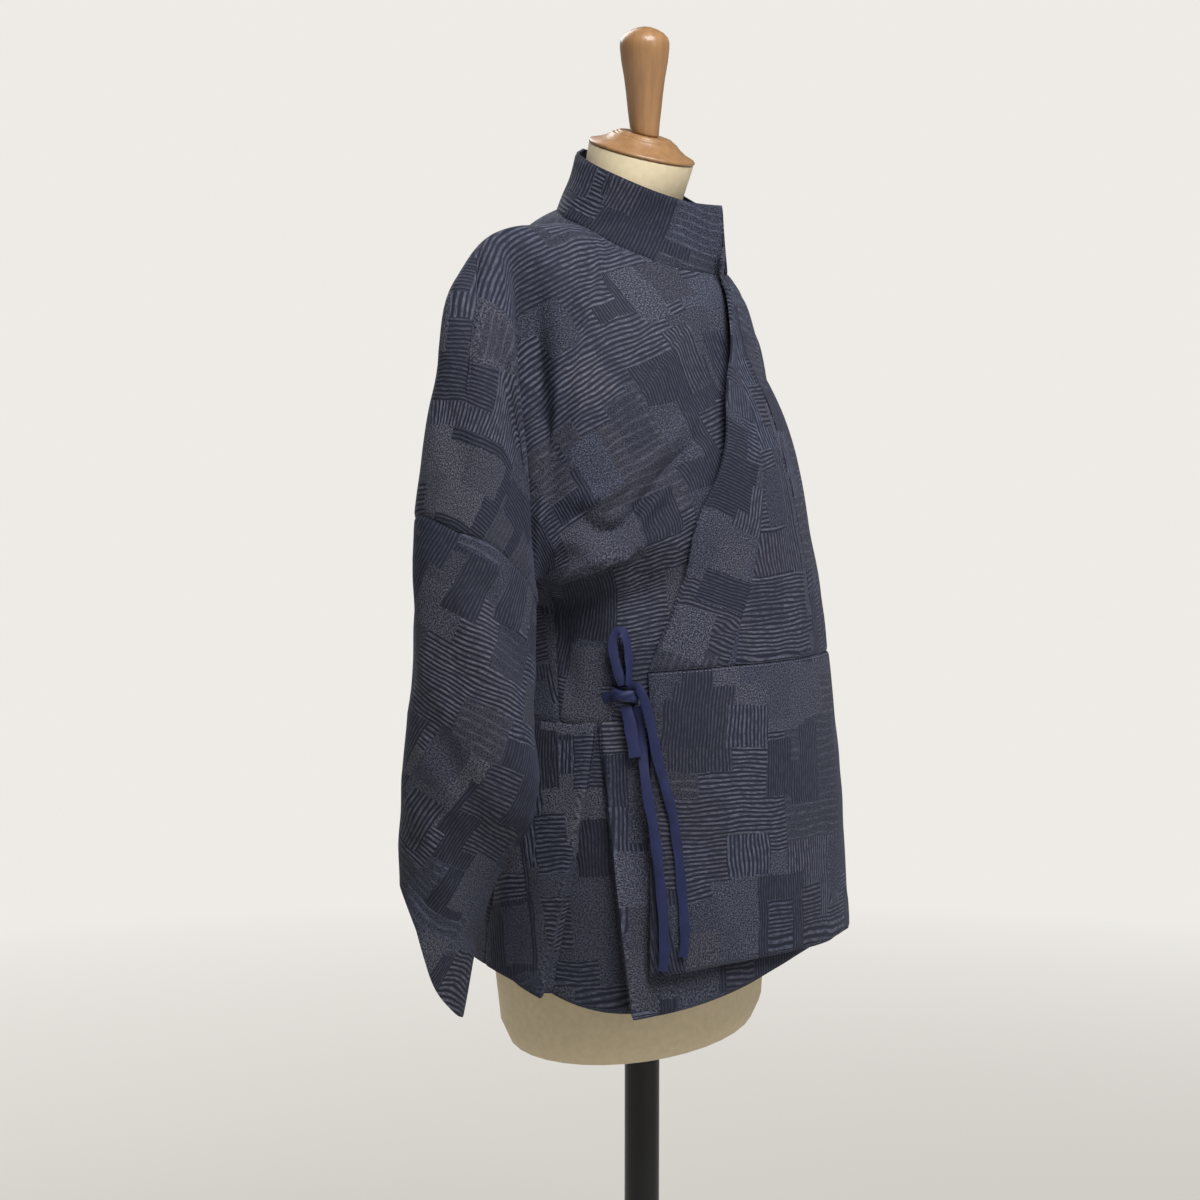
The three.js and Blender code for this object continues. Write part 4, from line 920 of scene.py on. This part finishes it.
def satin_ribbon(colours):
    """Cotton satin ribbon: fine cross threads and a soft shine along the folds."""
    material, tree, shader = new_material("cotton_satin_ribbon")
    where = add(tree, "ShaderNodeTexCoord", out=3)
    cloud = add(tree, "ShaderNodeTexNoise", where, None, 90.0, 2.0)
    shade_colour(tree, shader, colours.ribbon, cloud, 0.82, 1.12)
    thread = add(tree, "ShaderNodeTexNoise", where, None, 1400.0, 1.0)
    raise_surface(tree, shader, thread, 0.25, 0.0002)
    set_surface(shader, {"Roughness": 0.6, "Specular IOR Level": 0.3, "Sheen Weight": 0.06})
    return material


def linen_cover(colours):
    """Plain linen stretched over the form: crossed threads, matt, slightly slubbed."""
    material, tree, shader = new_material("linen_plain_weave")
    where = add(tree, "ShaderNodeTexCoord", out=3)
    slub = add(tree, "ShaderNodeTexNoise", where, None, 160.0, 3.0)
    shade_colour(tree, shader, colours.linen, slub, 0.93, 1.04)
    # Threads 0.3 mm apart: too fine to show one by one, they only break up the light.
    long_thread = add(tree, "ShaderNodeTexWave", where, 1100.0, 1.2, bands_direction="Z")
    thread = add(tree, "ShaderNodeTexWave", where, 1100.0, 1.2, bands_direction="DIAGONAL")
    cross = add(tree, "ShaderNodeMath", thread, long_thread, operation="ADD")
    raise_surface(tree, shader, cross, 0.2, 0.0003)
    set_surface(shader, {"Roughness": 0.85})
    return material


def turned_beech(colours):
    """Beech turned on a lathe and lacquered: straight grain with short dark rays."""
    material, tree, shader = new_material("beech_turned_lacquered")
    where = add(tree, "ShaderNodeTexCoord", out=3)
    drawn = add(tree, "ShaderNodeVectorMath", where, (160, 160, 9), operation="MULTIPLY")
    grain = add(tree, "ShaderNodeTexNoise", drawn, None, 1.0, 5.0, 0.6)
    shade_colour(tree, shader, colours.wood, grain, 0.78, 1.1)
    raise_surface(tree, shader, grain, 0.06, 0.0002)
    set_surface(shader, {"Roughness": 0.4, "Coat Weight": 0.2, "Coat Roughness": 0.15})
    return material


def satin_paint(colours):
    """Powder-coated steel: near black, with the coat's fine orange peel."""
    material, tree, shader = new_material("steel_powder_coated")
    where = add(tree, "ShaderNodeTexCoord", out=3)
    peel = add(tree, "ShaderNodeTexNoise", where, None, 900.0, 2.0)
    shade_colour(tree, shader, colours.paint, peel, 0.9, 1.1)
    raise_surface(tree, shader, peel, 0.1, 0.0002)
    set_surface(shader, {"Roughness": 0.42, "Metallic": 0.1})
    return material


def cotton_thread(colours):
    """Mercerised cotton thread: slate blue, with a light gloss."""
    material, tree, shader = new_material("cotton_thread")
    where = add(tree, "ShaderNodeTexCoord", out=3)
    twist = add(tree, "ShaderNodeTexNoise", where, None, 1500.0, 1.0)
    shade_colour(tree, shader, colours.thread, twist, 0.85, 1.1)
    set_surface(shader, {"Roughness": 0.6})
    return material


# ---------------------------------------------------------------- pieces
def fold_lines(at, drawn):
    """Fold lines in space from rows and places; a place over 2 goes on round the sleeve."""
    lines = []
    for line, width, depth in drawn:
        row, place = smooth_at(line, np.linspace(0, len(line) - 1, 17)).T
        lines.append((at(row, np.where(place > 2, place - 2, place)), width, depth))
    return lines


def body_folds(at):
    """The main creases of one bodice half: rows and places of each line, width, depth."""
    return fold_lines(at, [
        # the dent over the underarm lip, its upper edge and the lip's own roll
        ([(4.35, 0.32), (4.3, 0.42), (4.25, 0.52), (4.15, 0.60), (3.97, 0.675), (4.25, 0.74),
          (5.03, 0.80), (6.6, 0.86)], 6.5, -10.5),
        ([(4.75, 0.34), (4.68, 0.44), (4.72, 0.54), (4.8, 0.63), (5.0, 0.715), (5.73, 0.79),
          (7.7, 0.84)], 7.5, 6.5),
        ([(7.4, 0.97), (5.7, 0.895), (4.5, 0.835), (3.4, 0.75), (2.9, 0.67), (2.5, 0.61)], 8, 3.6),
        # the valley beside the sleeve, and the sleeve's edge that stands out of it
        ([(11.0, 0.28), (11.1, 0.38), (11.1, 0.50), (11.0, 0.60), (10.7, 0.69), (10.0, 0.78),
          (8.6, 0.87)], 14, -11),
        ([(12.4, 0.26), (13.1, 0.48), (14.2, 0.60), (15.6, 0.62)], 10, 3.0),
        # the crease that comes down from the chest to the tie
        ([(4.7, 0.42), (3.9, 0.45), (3.3, 0.55), (2.3, 0.66), (1.4, 0.72)], 8, -4.5),
        ([(3.4, 0.42), (2.7, 0.50), (1.9, 0.58), (1.0, 0.62)], 8, 2.6),
        # drags from the neck and shoulder down to the underarm
        ([(6.1, 0.16), (5.4, 0.15), (4.6, 0.20)], 10, -2.0),
        ([(9.4, 0.24), (7.6, 0.36), (5.8, 0.40), (4.9, 0.36)], 15, 2.4),
        ([(10.3, 0.46), (8.0, 0.50), (6.2, 0.50)], 10, -2.2),
        ([(9.6, 0.62), (8.8, 0.70), (7.8, 0.77)], 8, -3.0),
        # the upper sleeve
        ([(13.6, 1.86), (14.6, 2.10), (15.2, 2.26), (16.0, 2.34)], 15, 2.6),
        ([(14.6, 1.76), (15.6, 1.92), (16.6, 2.06)], 12, -2.6),
        ([(12.4, 0.22), (13.4, 0.40), (15.0, 0.50)], 10, -2.0),
        # the side below the arm
        ([(1.9, 0.82), (1.1, 0.80), (0.3, 0.83)], 8, 2.2),
        ([(2.4, 0.95), (1.3, 0.965), (0.2, 0.95)], 9, -4.0),
        ([(1.9, 1.10), (1.1, 1.16), (0.3, 1.10)], 12, -2.4),
        # the back
        ([(7.5, 1.86), (6.2, 1.66), (5.2, 1.46)], 18, -2.0),
        ([(5.9, 1.80), (4.9, 1.62), (4.1, 1.42)], 15, 2.8),
        ([(8.8, 1.62), (8.0, 1.44), (6.9, 1.28)], 12, -3.4),
        ([(4.8, 1.44), (4.0, 1.32), (3.3, 1.24)], 9, -4.6),
        ([(3.2, 1.90), (2.0, 1.76), (0.9, 1.82)], 16, -2.6),
        ([(2.6, 1.60), (1.4, 1.50), (0.4, 1.56)], 13, 2.6),
        ([(13.4, 1.70), (14.4, 1.56), (15.4, 1.40)], 12, -2.6),
        ([(14.6, 1.62), (15.6, 1.46), (16.6, 1.36)], 12, 2.4),
    ])


def sleeve_folds(at):
    """The soft diagonal folds of a hanging sleeve."""
    return fold_lines(at, [
        ([(17.4, 1.84), (18.0, 2.0), (18.8, 2.26), (19.7, 2.46)], 17, 3.4),
        ([(19.3, 1.66), (20.2, 1.92), (21.1, 2.10), (22.0, 2.40)], 14, -4.0),
        ([(21.2, 1.66), (22.3, 1.94), (22.9, 2.20), (23.3, 2.46)], 13, 3.0),
        ([(23.0, 1.74), (23.5, 1.94), (23.8, 2.20)], 9, -2.0),
        ([(17.3, 2.10), (17.9, 2.30), (18.4, 2.56)], 11, -2.4),
        ([(19.8, 2.72), (20.8, 2.62), (22.0, 2.60)], 10, -2.6),
        ([(17.6, 1.56), (18.8, 1.66), (20.0, 1.62)], 15, -3.2),
        ([(19.0, 1.24), (20.2, 1.42), (21.6, 1.56)], 13, 3.0),
        ([(20.8, 1.20), (21.9, 1.36), (23.0, 1.52)], 12, -3.0),
    ])


def grid_folds(points, drawn):
    """Fold lines in space from rows and columns of a grid."""
    return [(points[list(i), list(j)], width, depth) for i, j, width, depth in drawn]


def mirrored(points):
    return points * (-1, 1, 1)


def bodice_cut():
    """The flat cut of a bodice half: front and back in one over the shoulder."""
    # Closer rows over the shoulder, where the sections turn sharply.
    rows = np.unique(np.concatenate([np.arange(0, 17.01, 0.5), np.arange(11.25, 13.5, 0.5)]))
    front, back = np.linspace(0, 1, 19), np.linspace(1, 2, 17)
    grids = [cloth_at(rows[:, None], places[None]) for places in (front, back)]
    cuts = flatten(grids, ((0, 0, 0), (0, 8, 0)), tags={(0, 18), (1, 0)})
    return rows, (front, back), cuts


class GARMENT_OT_bodice(bpy.types.Operator):
    """Builds the two bodice halves with their upper sleeves"""
    bl_idname = "garment.bodice"
    bl_label = "Bodice Halves"

    def execute(self, context):
        wall = context.scene.wrap_top_sizes.wall
        coarse_rows, coarse_places, cuts = bodice_cut()
        rows = spread(0, JOINT_ROW, BODICE_ROWS)
        for side, at in (("right", cloth_at), ("left", left_at)):
            left = side == "left"
            shift, seed = CLOTH_PLACES[f"bodice_{side}"]
            sheets, own_cuts = [], []
            for k, places in enumerate((spread(0, 1, 46), spread(1, 2, 42))):
                row, place = np.meshgrid(rows, places, indexing="ij")
                if left and k == 0:
                    start = row_at_height(place, outer_seam(-place))
                    row = np.where(row < 1, start + (1 - start) * row, row)
                flat = resample(cuts[k], coarse_rows, coarse_places[k], row, place)
                if left:
                    flat = flat * (-1, 1)
                own_cuts.append(flat)
                borders = ["bottom", "top", "end" if k == 0 else "start"]
                inner = at(row, place)
                points = dressed(inner, flat, left, body_folds(at), borders, seed)
                points = underarm_lip(inner, points, row, places, left)
                sheets.append((points, flat + shift))
            obj = make_shell(f"bodice_{side}", weld_columns(sheets, rows), wall, "jacquard",
                             (left, left))
            declare(obj, f"body_{side}")
        return {"FINISHED"}


def weld_columns(sheets, rows):
    """Makes two sheets meet where they share a seam or a fold, so that they merge."""
    (front, front_flat), (back, back_flat) = sheets
    side = (front[:, -1] + back[:, 0]) / 2
    front[:, -1], back[:, 0] = side, side
    joined = rows >= NECK_POINT_ROW
    ridge = (front[joined, 0] + back[joined, -1]) / 2
    front[joined, 0], back[joined, -1] = ridge, ridge
    return [(front, front_flat), (back, back_flat)]


class GARMENT_OT_sleeves(bpy.types.Operator):
    """Builds the two lower sleeves"""
    bl_idname = "garment.sleeves"
    bl_label = "Lower Sleeves"

    def execute(self, context):
        wall = context.scene.wrap_top_sizes.wall
        coarse_rows = np.linspace(JOINT_ROW, CUFF_ROW, 22)
        coarse = np.concatenate([np.linspace(1, 2, 15), np.linspace(0, 1, 15)[1:] + 2])
        place = np.where(coarse > 2, coarse - 2, coarse)
        cut, = flatten([cloth_at(coarse_rows[:, None], place[None])],
                       ((0, 21, 14), (0, 0, 14)), tags={(0, 0), (0, 28)})
        rows = spread(JOINT_ROW, CUFF_ROW, 76)
        for side, at in (("right", cloth_at), ("left", lambda r, p: mirrored(cloth_at(r, p)))):
            left = side == "left"
            shift, seed = CLOTH_PLACES[f"lower_sleeve_{side}"]
            row, around = np.meshgrid(rows, np.concatenate(
                [spread(1, 2, 40), spread(2, 3, 42)[1:]]), indexing="ij")
            flat = resample(cut, coarse_rows, coarse, row, around)
            if left:
                flat = flat * (-1, 1)
            place = np.where(around > 2, around - 2, around)
            base = at(row, place)
            # The cuff's edge hangs in a curve between its outer fold and its lowest point.
            near_cuff = np.clip((row - 22) / 2, 0, 1) ** 2
            low = CUFF_DROP * np.exp(-((around - 2.2) / 0.24) ** 2) * near_cuff
            base = base + unit(np.gradient(base, axis=0)) * low[..., None]
            points = dressed(base, flat, left, sleeve_folds(at),
                             ["bottom", "start", "end"], seed)
            seam = (points[:, 0] + points[:, -1]) / 2
            points[:, 0], points[:, -1] = seam, seam
            lie = turned(flat, SLEEVE_GRAIN_LEAN) + shift
            obj = make_shell(f"lower_sleeve_{side}", [(points, lie)], wall, "jacquard", (left,))
            declare(obj, f"sleeve_{side}")
        return {"FINISHED"}


class GARMENT_OT_collar(bpy.types.Operator):
    """Builds the stand collar"""
    bl_idname = "garment.collar"
    bl_label = "Stand Collar"

    def execute(self, context):
        def band(steps, shares):
            right = collar_half(steps, shares, False)
            left = collar_half(steps, shares, True)
            return np.concatenate([right, left[:, -2::-1]], axis=1)
        coarse_steps, coarse_shares = np.linspace(0, COLLAR_STEPS, 19), np.linspace(0, 1, 5)
        cut, = flatten([band(coarse_steps, coarse_shares)], ((0, 0, 18), (0, 4, 18)))
        steps, shares = spread(0, COLLAR_STEPS, 60), spread(0, 1, 16)
        points = band(steps, shares)
        whole = 2 * COLLAR_STEPS
        column = np.concatenate([steps, whole - steps[-2::-1]])
        coarse_column = np.concatenate([coarse_steps, whole - coarse_steps[-2::-1]])
        share, step = np.meshgrid(shares, column, indexing="ij")
        flat = resample(cut, coarse_shares, coarse_column, share, step)
        shift, seed = CLOTH_PLACES["stand_collar"]
        folds = grid_folds(points, COLLAR_FOLDS)
        outer = dressed(points, flat, False, folds, ["bottom", "top"], seed, lie=0.5)
        obj = make_shell("stand_collar", [(outer, flat + shift)],
                         context.scene.wrap_top_sizes.wall, "jacquard", (False,))
        declare(obj, "collar")
        return {"FINISHED"}


class GARMENT_OT_lap(bpy.types.Operator):
    """Builds the lapped front and its lapel band"""
    bl_idname = "garment.lap"
    bl_label = "Lapped Front"

    def execute(self, context):
        wall = context.scene.wrap_top_sizes.wall
        for name, node, lines, across, grain_column, lean, drawn, borders in (
                ("lapped_front", "overlap_front", ("centre", "seam"), 34, 0, 0.0, LAP_FOLDS,
                 ["bottom", "end"]),
                ("lapel_band", "overlap_band", ("seam", "edge"), 24, -1, math.pi / 2, [],
                 ["bottom", "start", "end", "top"])):
            shift, seed = CLOTH_PLACES[name]
            points = lap_grid(*lines, across, 110)
            flat = panel_cut(points, 6, 4, grain_column)
            folds = grid_folds(points, drawn)
            outer = dressed(points, flat, False, folds, borders, seed, lie=0.6)
            obj = make_shell(name, [(outer, turned(flat, lean) + shift)], wall, "jacquard",
                             (False,))
            declare(obj, node)
        return {"FINISHED"}


def whole_back_at(place, down):
    """The back peplum from seam to seam; places over 2 lie on the wearer's left."""
    p = peplum_at(np.where(place > 2, 4 - place, place), down)
    return np.where((place > 2)[..., None], mirrored(p), p)


class GARMENT_OT_peplum(bpy.types.Operator):
    """Builds the three peplum panels"""
    bl_idname = "garment.peplum"
    bl_label = "Pleated Peplum"

    def execute(self, context):
        pleat = np.unique(np.concatenate([
            spread(0, 0.8, 44), np.interp(np.linspace(0, 11, 67), range(12), PLEAT[:, 0]),
            spread(1.0, PEPLUM_SEAM, 12)]))
        back = spread(PEPLUM_SEAM, 2, 60)
        back = np.concatenate([back, 4 - back[-2::-1]])
        outer = np.sort(np.concatenate([spread(0.69, 0, 44)[::-1], -pleat[1:]]))[::-1]
        downs = np.sort(spread(1, 0, 70))[::-1]
        for name, node, places, at, flip, rests_on in (
                ("peplum_under", "peplum_right_front", pleat, peplum_at, False, "bodice_right"),
                ("peplum_rear", "peplum_back", back, whole_back_at, False, "bodice_left"),
                ("peplum_outer", "peplum_left_front", outer, outer_peplum_at, True,
                 "bodice_left")):
            shift, seed = CLOTH_PLACES[name]
            down, place = np.meshgrid(downs, places, indexing="ij")
            points = at(place, down)
            flat = panel_cut(points, 8, 3, 4)
            folds = []
            for line, width, depth in PEPLUM_FOLDS[name]:
                line = np.array(line)
                folds.append((at(line[:, 0], line[:, 1]), width, depth))
            outside = dressed(points, flat, flip, folds, ["bottom", "top", "start", "end"], seed)
            obj = make_shell(name, [(outside, flat + shift)],
                             context.scene.wrap_top_sizes.wall, "jacquard", (flip,))
            declare(obj, node)
        return {"FINISHED"}


class GARMENT_OT_tie(bpy.types.Operator):
    """Builds the ribbon tie: its loop, ends and knot"""
    bl_idname = "garment.tie"
    bl_label = "Ribbon Tie"

    def execute(self, context):
        wall = context.scene.wrap_top_sizes.ribbon_wall / MM
        for node, width, first_way, last_way, route in TIES:
            count = max(8, 5 * len(route))
            line = smooth_route(np.array(route, float), count)
            along = unit(np.gradient(line, axis=0))
            turn = np.linspace(0, 1, count)[:, None]
            facing = np.array(first_way) * (1 - turn) + np.array(last_way) * turn
            out = unit(facing - along * (along * facing).sum(-1, keepdims=True))
            side = np.cross(out, along)
            share = np.linspace(-0.5, 0.5, 9)[None, :]
            # A ribbon cups and curls a little across its width, unevenly along its length.
            lengthwise = np.linspace(0, 1, count)[:, None] * len(route)
            shown = width * (1 - 0.13 * np.sin(1.3 * lengthwise + len(route)) ** 2)
            cup = (0.25 - share ** 2) * (1.6 + 1.1 * np.sin(0.9 * lengthwise + 1))
            curl = 0.5 * share * np.sin(1.7 * lengthwise)
            points = (line[:, None] + side[:, None] * (share * shown)[..., None]
                      + out[:, None] * (cup + curl + wall / 2)[..., None])
            length = float(np.linalg.norm(np.diff(line, axis=0), axis=1).sum())
            self.sew(node, points, np.linspace(0, length, count), share, "hung",
                     "body_right" if node == "tie_root_side" else "tie_knot")
        self.knot()
        return {"FINISHED"}

    def sew(self, node, points, lengths, share, held, rests_on):
        """Makes one run of ribbon from its outer points and their places along it."""
        flat = np.stack(np.meshgrid(lengths, share[0] * RIBBON, indexing="ij"), -1)
        wall = bpy.context.scene.wrap_top_sizes.ribbon_wall
        obj = make_shell(node.replace("tie", "ribbon"), [(points, flat)], wall, "ribbon",
                         (False,))
        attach(obj, "root")
        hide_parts(node)

    def knot(self):
        """The knot is a short run of ribbon wound once round the others and pulled tight."""
        facing = unit(np.array(SIDE_FACING))
        across = unit(np.cross((0, 0, 1), facing))
        upward = np.cross(facing, across)
        turn = np.linspace(0, 2 * math.pi, 73)[:, None]
        share = np.linspace(-0.5, 0.5, 13)[None, :]
        # The band narrows where it is pulled over the front, and slants down to one side.
        width = KNOT_HEIGHT - 3.0 * np.exp(-((turn - 1.9) / 0.7) ** 2)
        bulge = 1 + 0.16 * np.cos(math.pi * share) + 0.05 * np.sin(5 * turn + 9 * share)
        points = (np.array(KNOT_AT) + across * (KNOT_RADIUS * np.cos(turn) * bulge)[..., None]
                  + facing * (KNOT_DEPTH * np.sin(turn) * bulge)[..., None]
                  + upward * (share * width - 1.6 * np.cos(turn))[..., None])
        points[-1] = points[0]
        length = float(np.linalg.norm(np.diff(points[:, 6], axis=0), axis=1).sum())
        self.sew("tie_knot", points, turn[:, 0] / turn[-1, 0] * length, share, "folded",
                 "body_right")


def smooth_route(route, count):
    """Even steps along a rounded line through the route's points."""
    line = route
    for _ in range(3):
        a, b = line[:-1] * 0.75 + line[1:] * 0.25, line[:-1] * 0.25 + line[1:] * 0.75
        line = np.concatenate([line[:1], np.stack([a, b], 1).reshape(-1, 3), line[-1:]])
    run = np.concatenate([[0], np.cumsum(np.linalg.norm(np.diff(line, axis=0), axis=1))])
    at = np.linspace(0, run[-1], count)
    return np.stack([np.interp(at, run, line[:, k]) for k in range(3)], -1)


class GARMENT_OT_stitches(bpy.types.Operator):
    """Sews the topstitching along the outer peplum's seam"""
    bl_idname = "garment.stitches"
    bl_label = "Topstitching"

    def execute(self, context):
        sizes = context.scene.wrap_top_sizes
        place = np.linspace(STITCHED_FROM, STITCHED_TO, 900)
        line = outer_peplum_at(place, np.full_like(place, STITCH_DOWN))
        ahead = outer_peplum_at(place, np.full_like(place, 0.02))
        along = unit(np.gradient(line, axis=0))
        outward = unit(np.cross(along, ahead - line))
        outward *= np.sign((outward * (line * (1, 1, 0))).sum(-1).mean())
        line = line + outward * (sizes.wall / MM + STITCH_PROUD)
        run = np.concatenate([[0], np.cumsum(np.linalg.norm(np.diff(line, axis=0), axis=1))])
        length = sizes.stitch / MM
        starts = np.arange(1, run[-1] - length, length * STITCH_REPEAT)
        bm = bmesh.new()
        for start in starts:
            k = int(np.searchsorted(run, start + length / 2))
            centre, forward, out = line[k], along[k], outward[k]
            side = np.cross(forward, out)
            ring = []
            for end, thick in ((-0.5, THREAD_END_RADIUS), (-0.3, THREAD_RADIUS),
                               (0.3, THREAD_RADIUS), (0.5, THREAD_END_RADIUS)):
                corners = [bm.verts.new(tuple((centre + forward * end * length
                                               + (side * a + out * b) * thick) * MM))
                           for a, b in ((1, 0), (0.3, 0.9), (-0.3, 0.9), (-1, 0), (0, -0.6))]
                ring.append(corners)
            for low, high in zip(ring, ring[1:]):
                for j in range(5):
                    bm.faces.new((low[j], low[(j + 1) % 5], high[(j + 1) % 5], high[j]))
            bm.faces.new(ring[0][::-1])
            bm.faces.new(ring[-1])
        bmesh.ops.recalc_face_normals(bm, faces=bm.faces)
        mesh = bpy.data.meshes.new("waist_topstitch")
        bm.to_mesh(mesh)
        bm.free()
        obj = bpy.data.objects.new("waist_topstitch", mesh)
        context.scene.collection.objects.link(obj)
        mesh.shade_smooth()
        mesh.materials.append(MATERIALS["thread"])
        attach(obj, "root")
        return {"FINISHED"}


# ---------------------------------------------------------------- form and stand
def merged_copy(node, name):
    """A copy of a solid with its loose triangles merged, ready for modifiers."""
    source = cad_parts[node]
    obj = bpy.data.objects.new(name, source.data.copy())
    bpy.context.scene.collection.objects.link(obj)
    bm = bmesh.new()
    bm.from_mesh(obj.data)
    bmesh.ops.remove_doubles(bm, verts=bm.verts, dist=0.00001)
    bmesh.ops.dissolve_limit(bm, angle_limit=0.002, verts=bm.verts, edges=bm.edges)
    bmesh.ops.recalc_face_normals(bm, faces=bm.faces)
    bm.to_mesh(obj.data)
    bm.free()
    obj.data.materials.clear()
    return obj


class GARMENT_OT_form(bpy.types.Operator):
    """Builds the limbless dress form with its wooden cap and finial"""
    bl_idname = "garment.form"
    bl_label = "Dress Form"

    def execute(self, context):
        for node, name, slot, bevel in (
                ("form_torso", "form_body", "linen", 0.0012),
                ("neck_cap", "form_neck_cap", "turned_wood", 0.0007),
                ("neck_finial", "form_finial", "turned_wood", 0.0004)):
            finish(merged_copy(node, name), node, slot, bevel)
        return {"FINISHED"}


class GARMENT_OT_stand(bpy.types.Operator):
    """Builds the stand's pole and round base"""
    bl_idname = "garment.stand"
    bl_label = "Stand"

    def execute(self, context):
        for node, name in (("stand_pole", "pole"), ("stand_base", "round_base")):
            finish(merged_copy(node, name), node, "stand_paint", 0.0006)
        return {"FINISHED"}


def finish(obj, node, slot, bevel):
    """Breaks a hard piece's edges, smooths it, and puts it in its solid's place."""
    rounding = obj.modifiers.new("Broken edges", "BEVEL")
    rounding.width = bevel
    rounding.segments = 2
    rounding.limit_method = "ANGLE"
    rounding.angle_limit = math.radians(HARD_EDGE)
    apply_modifiers(obj)
    bpy.ops.object.shade_smooth_by_angle(angle=math.radians(HARD_SMOOTHING))
    obj.data.materials.append(MATERIALS[slot])
    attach(obj, "root")
    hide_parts(node)


# ---------------------------------------------------------------- stage
def aim(obj, place, forward):
    """Puts a camera or a lamp at a place, looking along a direction."""
    obj.location = place
    obj.rotation_euler = Vector(forward).to_track_quat("-Z", "Y").to_euler()
    bpy.context.scene.collection.objects.link(obj)


class GARMENT_OT_stage(bpy.types.Operator):
    """Sets the camera, the soft light and a plain pale floor"""
    bl_idname = "garment.stage"
    bl_label = "Stage"

    def execute(self, context):
        scene = context.scene
        camera = bpy.data.cameras.new("camera")
        camera.lens, camera.sensor_width = LENS, SENSOR_WIDTH
        eye = bpy.data.objects.new("camera", camera)
        aim(eye, CAMERA_AT, CAMERA_FORWARD)
        scene.camera = eye
        scene.view_settings.view_transform = "Standard"
        for name, place, target, size, power in LAMPS:
            lamp = bpy.data.lights.new(name, "AREA")
            lamp.size, lamp.energy = size, power
            aim(bpy.data.objects.new(name, lamp), place, Vector(target) - Vector(place))
        world = bpy.data.worlds.new("studio")
        scene.world = world
        world.use_nodes = True
        tree = world.node_tree
        shown = tree.nodes["Background"]
        backdrop = (*hex_colour(BACKGROUND), 1)
        shown.inputs[0].default_value = backdrop
        # The room's walls light the garment less than the plain backdrop is bright.
        cast = add(tree, "ShaderNodeBackground", backdrop, ROOM_LIGHT)
        seen = add(tree, "ShaderNodeLightPath", out=0)
        both = add(tree, "ShaderNodeMixShader", seen, cast, shown.outputs[0])
        tree.links.new(both, next(n for n in tree.nodes if n.type == "OUTPUT_WORLD").inputs[0])
        bpy.ops.object.select_all(action="DESELECT")
        bpy.ops.mesh.primitive_circle_add(vertices=128, radius=FLOOR_RADIUS, fill_type="NGON",
                                          location=(0, 0, -FLOOR_DROP))
        floor = context.active_object
        floor.name = "floor"
        material, tree, shader = new_material("painted_floor")
        set_surface(shader, {"Base Color": (*hex_colour("cfcbc5"), 1), "Roughness": 0.9})
        # Far from the stand the floor turns into the plain backdrop.
        where = add(tree, "ShaderNodeTexCoord", out=3)
        reach = add(tree, "ShaderNodeVectorMath", where, operation="LENGTH", out=1)
        fade = add(tree, "ShaderNodeMapRange", reach, *FLOOR_FADE, 0.0, 1.0)
        glow = add(tree, "ShaderNodeEmission", backdrop, 1.0)
        both = add(tree, "ShaderNodeMixShader", fade, shader.outputs[0], glow)
        out = next(n for n in tree.nodes if n.type == "OUTPUT_MATERIAL")
        tree.links.new(both, out.inputs[0])
        floor.data.materials.append(material)
        return {"FINISHED"}


OPERATORS = (GARMENT_OT_bodice, GARMENT_OT_sleeves, GARMENT_OT_collar, GARMENT_OT_lap,
             GARMENT_OT_peplum, GARMENT_OT_tie, GARMENT_OT_stitches, GARMENT_OT_form,
             GARMENT_OT_stand, GARMENT_OT_stage)


class GARMENT_PT_panel(bpy.types.Panel):
    """Lists the garment's pieces in the sidebar"""
    bl_label = "Wrap Top"
    bl_space_type = "VIEW_3D"
    bl_region_type = "UI"
    bl_category = "Wrap Top"

    def draw(self, context):
        sizes, colours = context.scene.wrap_top_sizes, context.scene.wrap_top_colours
        for group in (sizes, colours):
            for name in group.__annotations__:
                self.layout.prop(group, name)
        for operator in OPERATORS:
            self.layout.operator(operator.bl_idname)


CLASSES = (WrapTopSizes, WrapTopColours, *OPERATORS, GARMENT_PT_panel)


def register():
    for cls in CLASSES:
        bpy.utils.register_class(cls)
    bpy.types.Scene.wrap_top_sizes = PointerProperty(type=WrapTopSizes)
    bpy.types.Scene.wrap_top_colours = PointerProperty(type=WrapTopColours)


def unregister():
    del bpy.types.Scene.wrap_top_colours
    del bpy.types.Scene.wrap_top_sizes
    for cls in reversed(CLASSES):
        bpy.utils.unregister_class(cls)


def main():
    register()
    colours = bpy.context.scene.wrap_top_colours
    MATERIALS.update(
        jacquard=woven_jacquard(colours), ribbon=satin_ribbon(colours),
        linen=linen_cover(colours), turned_wood=turned_beech(colours),
        stand_paint=satin_paint(colours), thread=cotton_thread(colours))
    for operator in OPERATORS:
        group, name = operator.bl_idname.split(".")
        getattr(getattr(bpy.ops, group), name)()


if __name__ == "__main__":
    main()
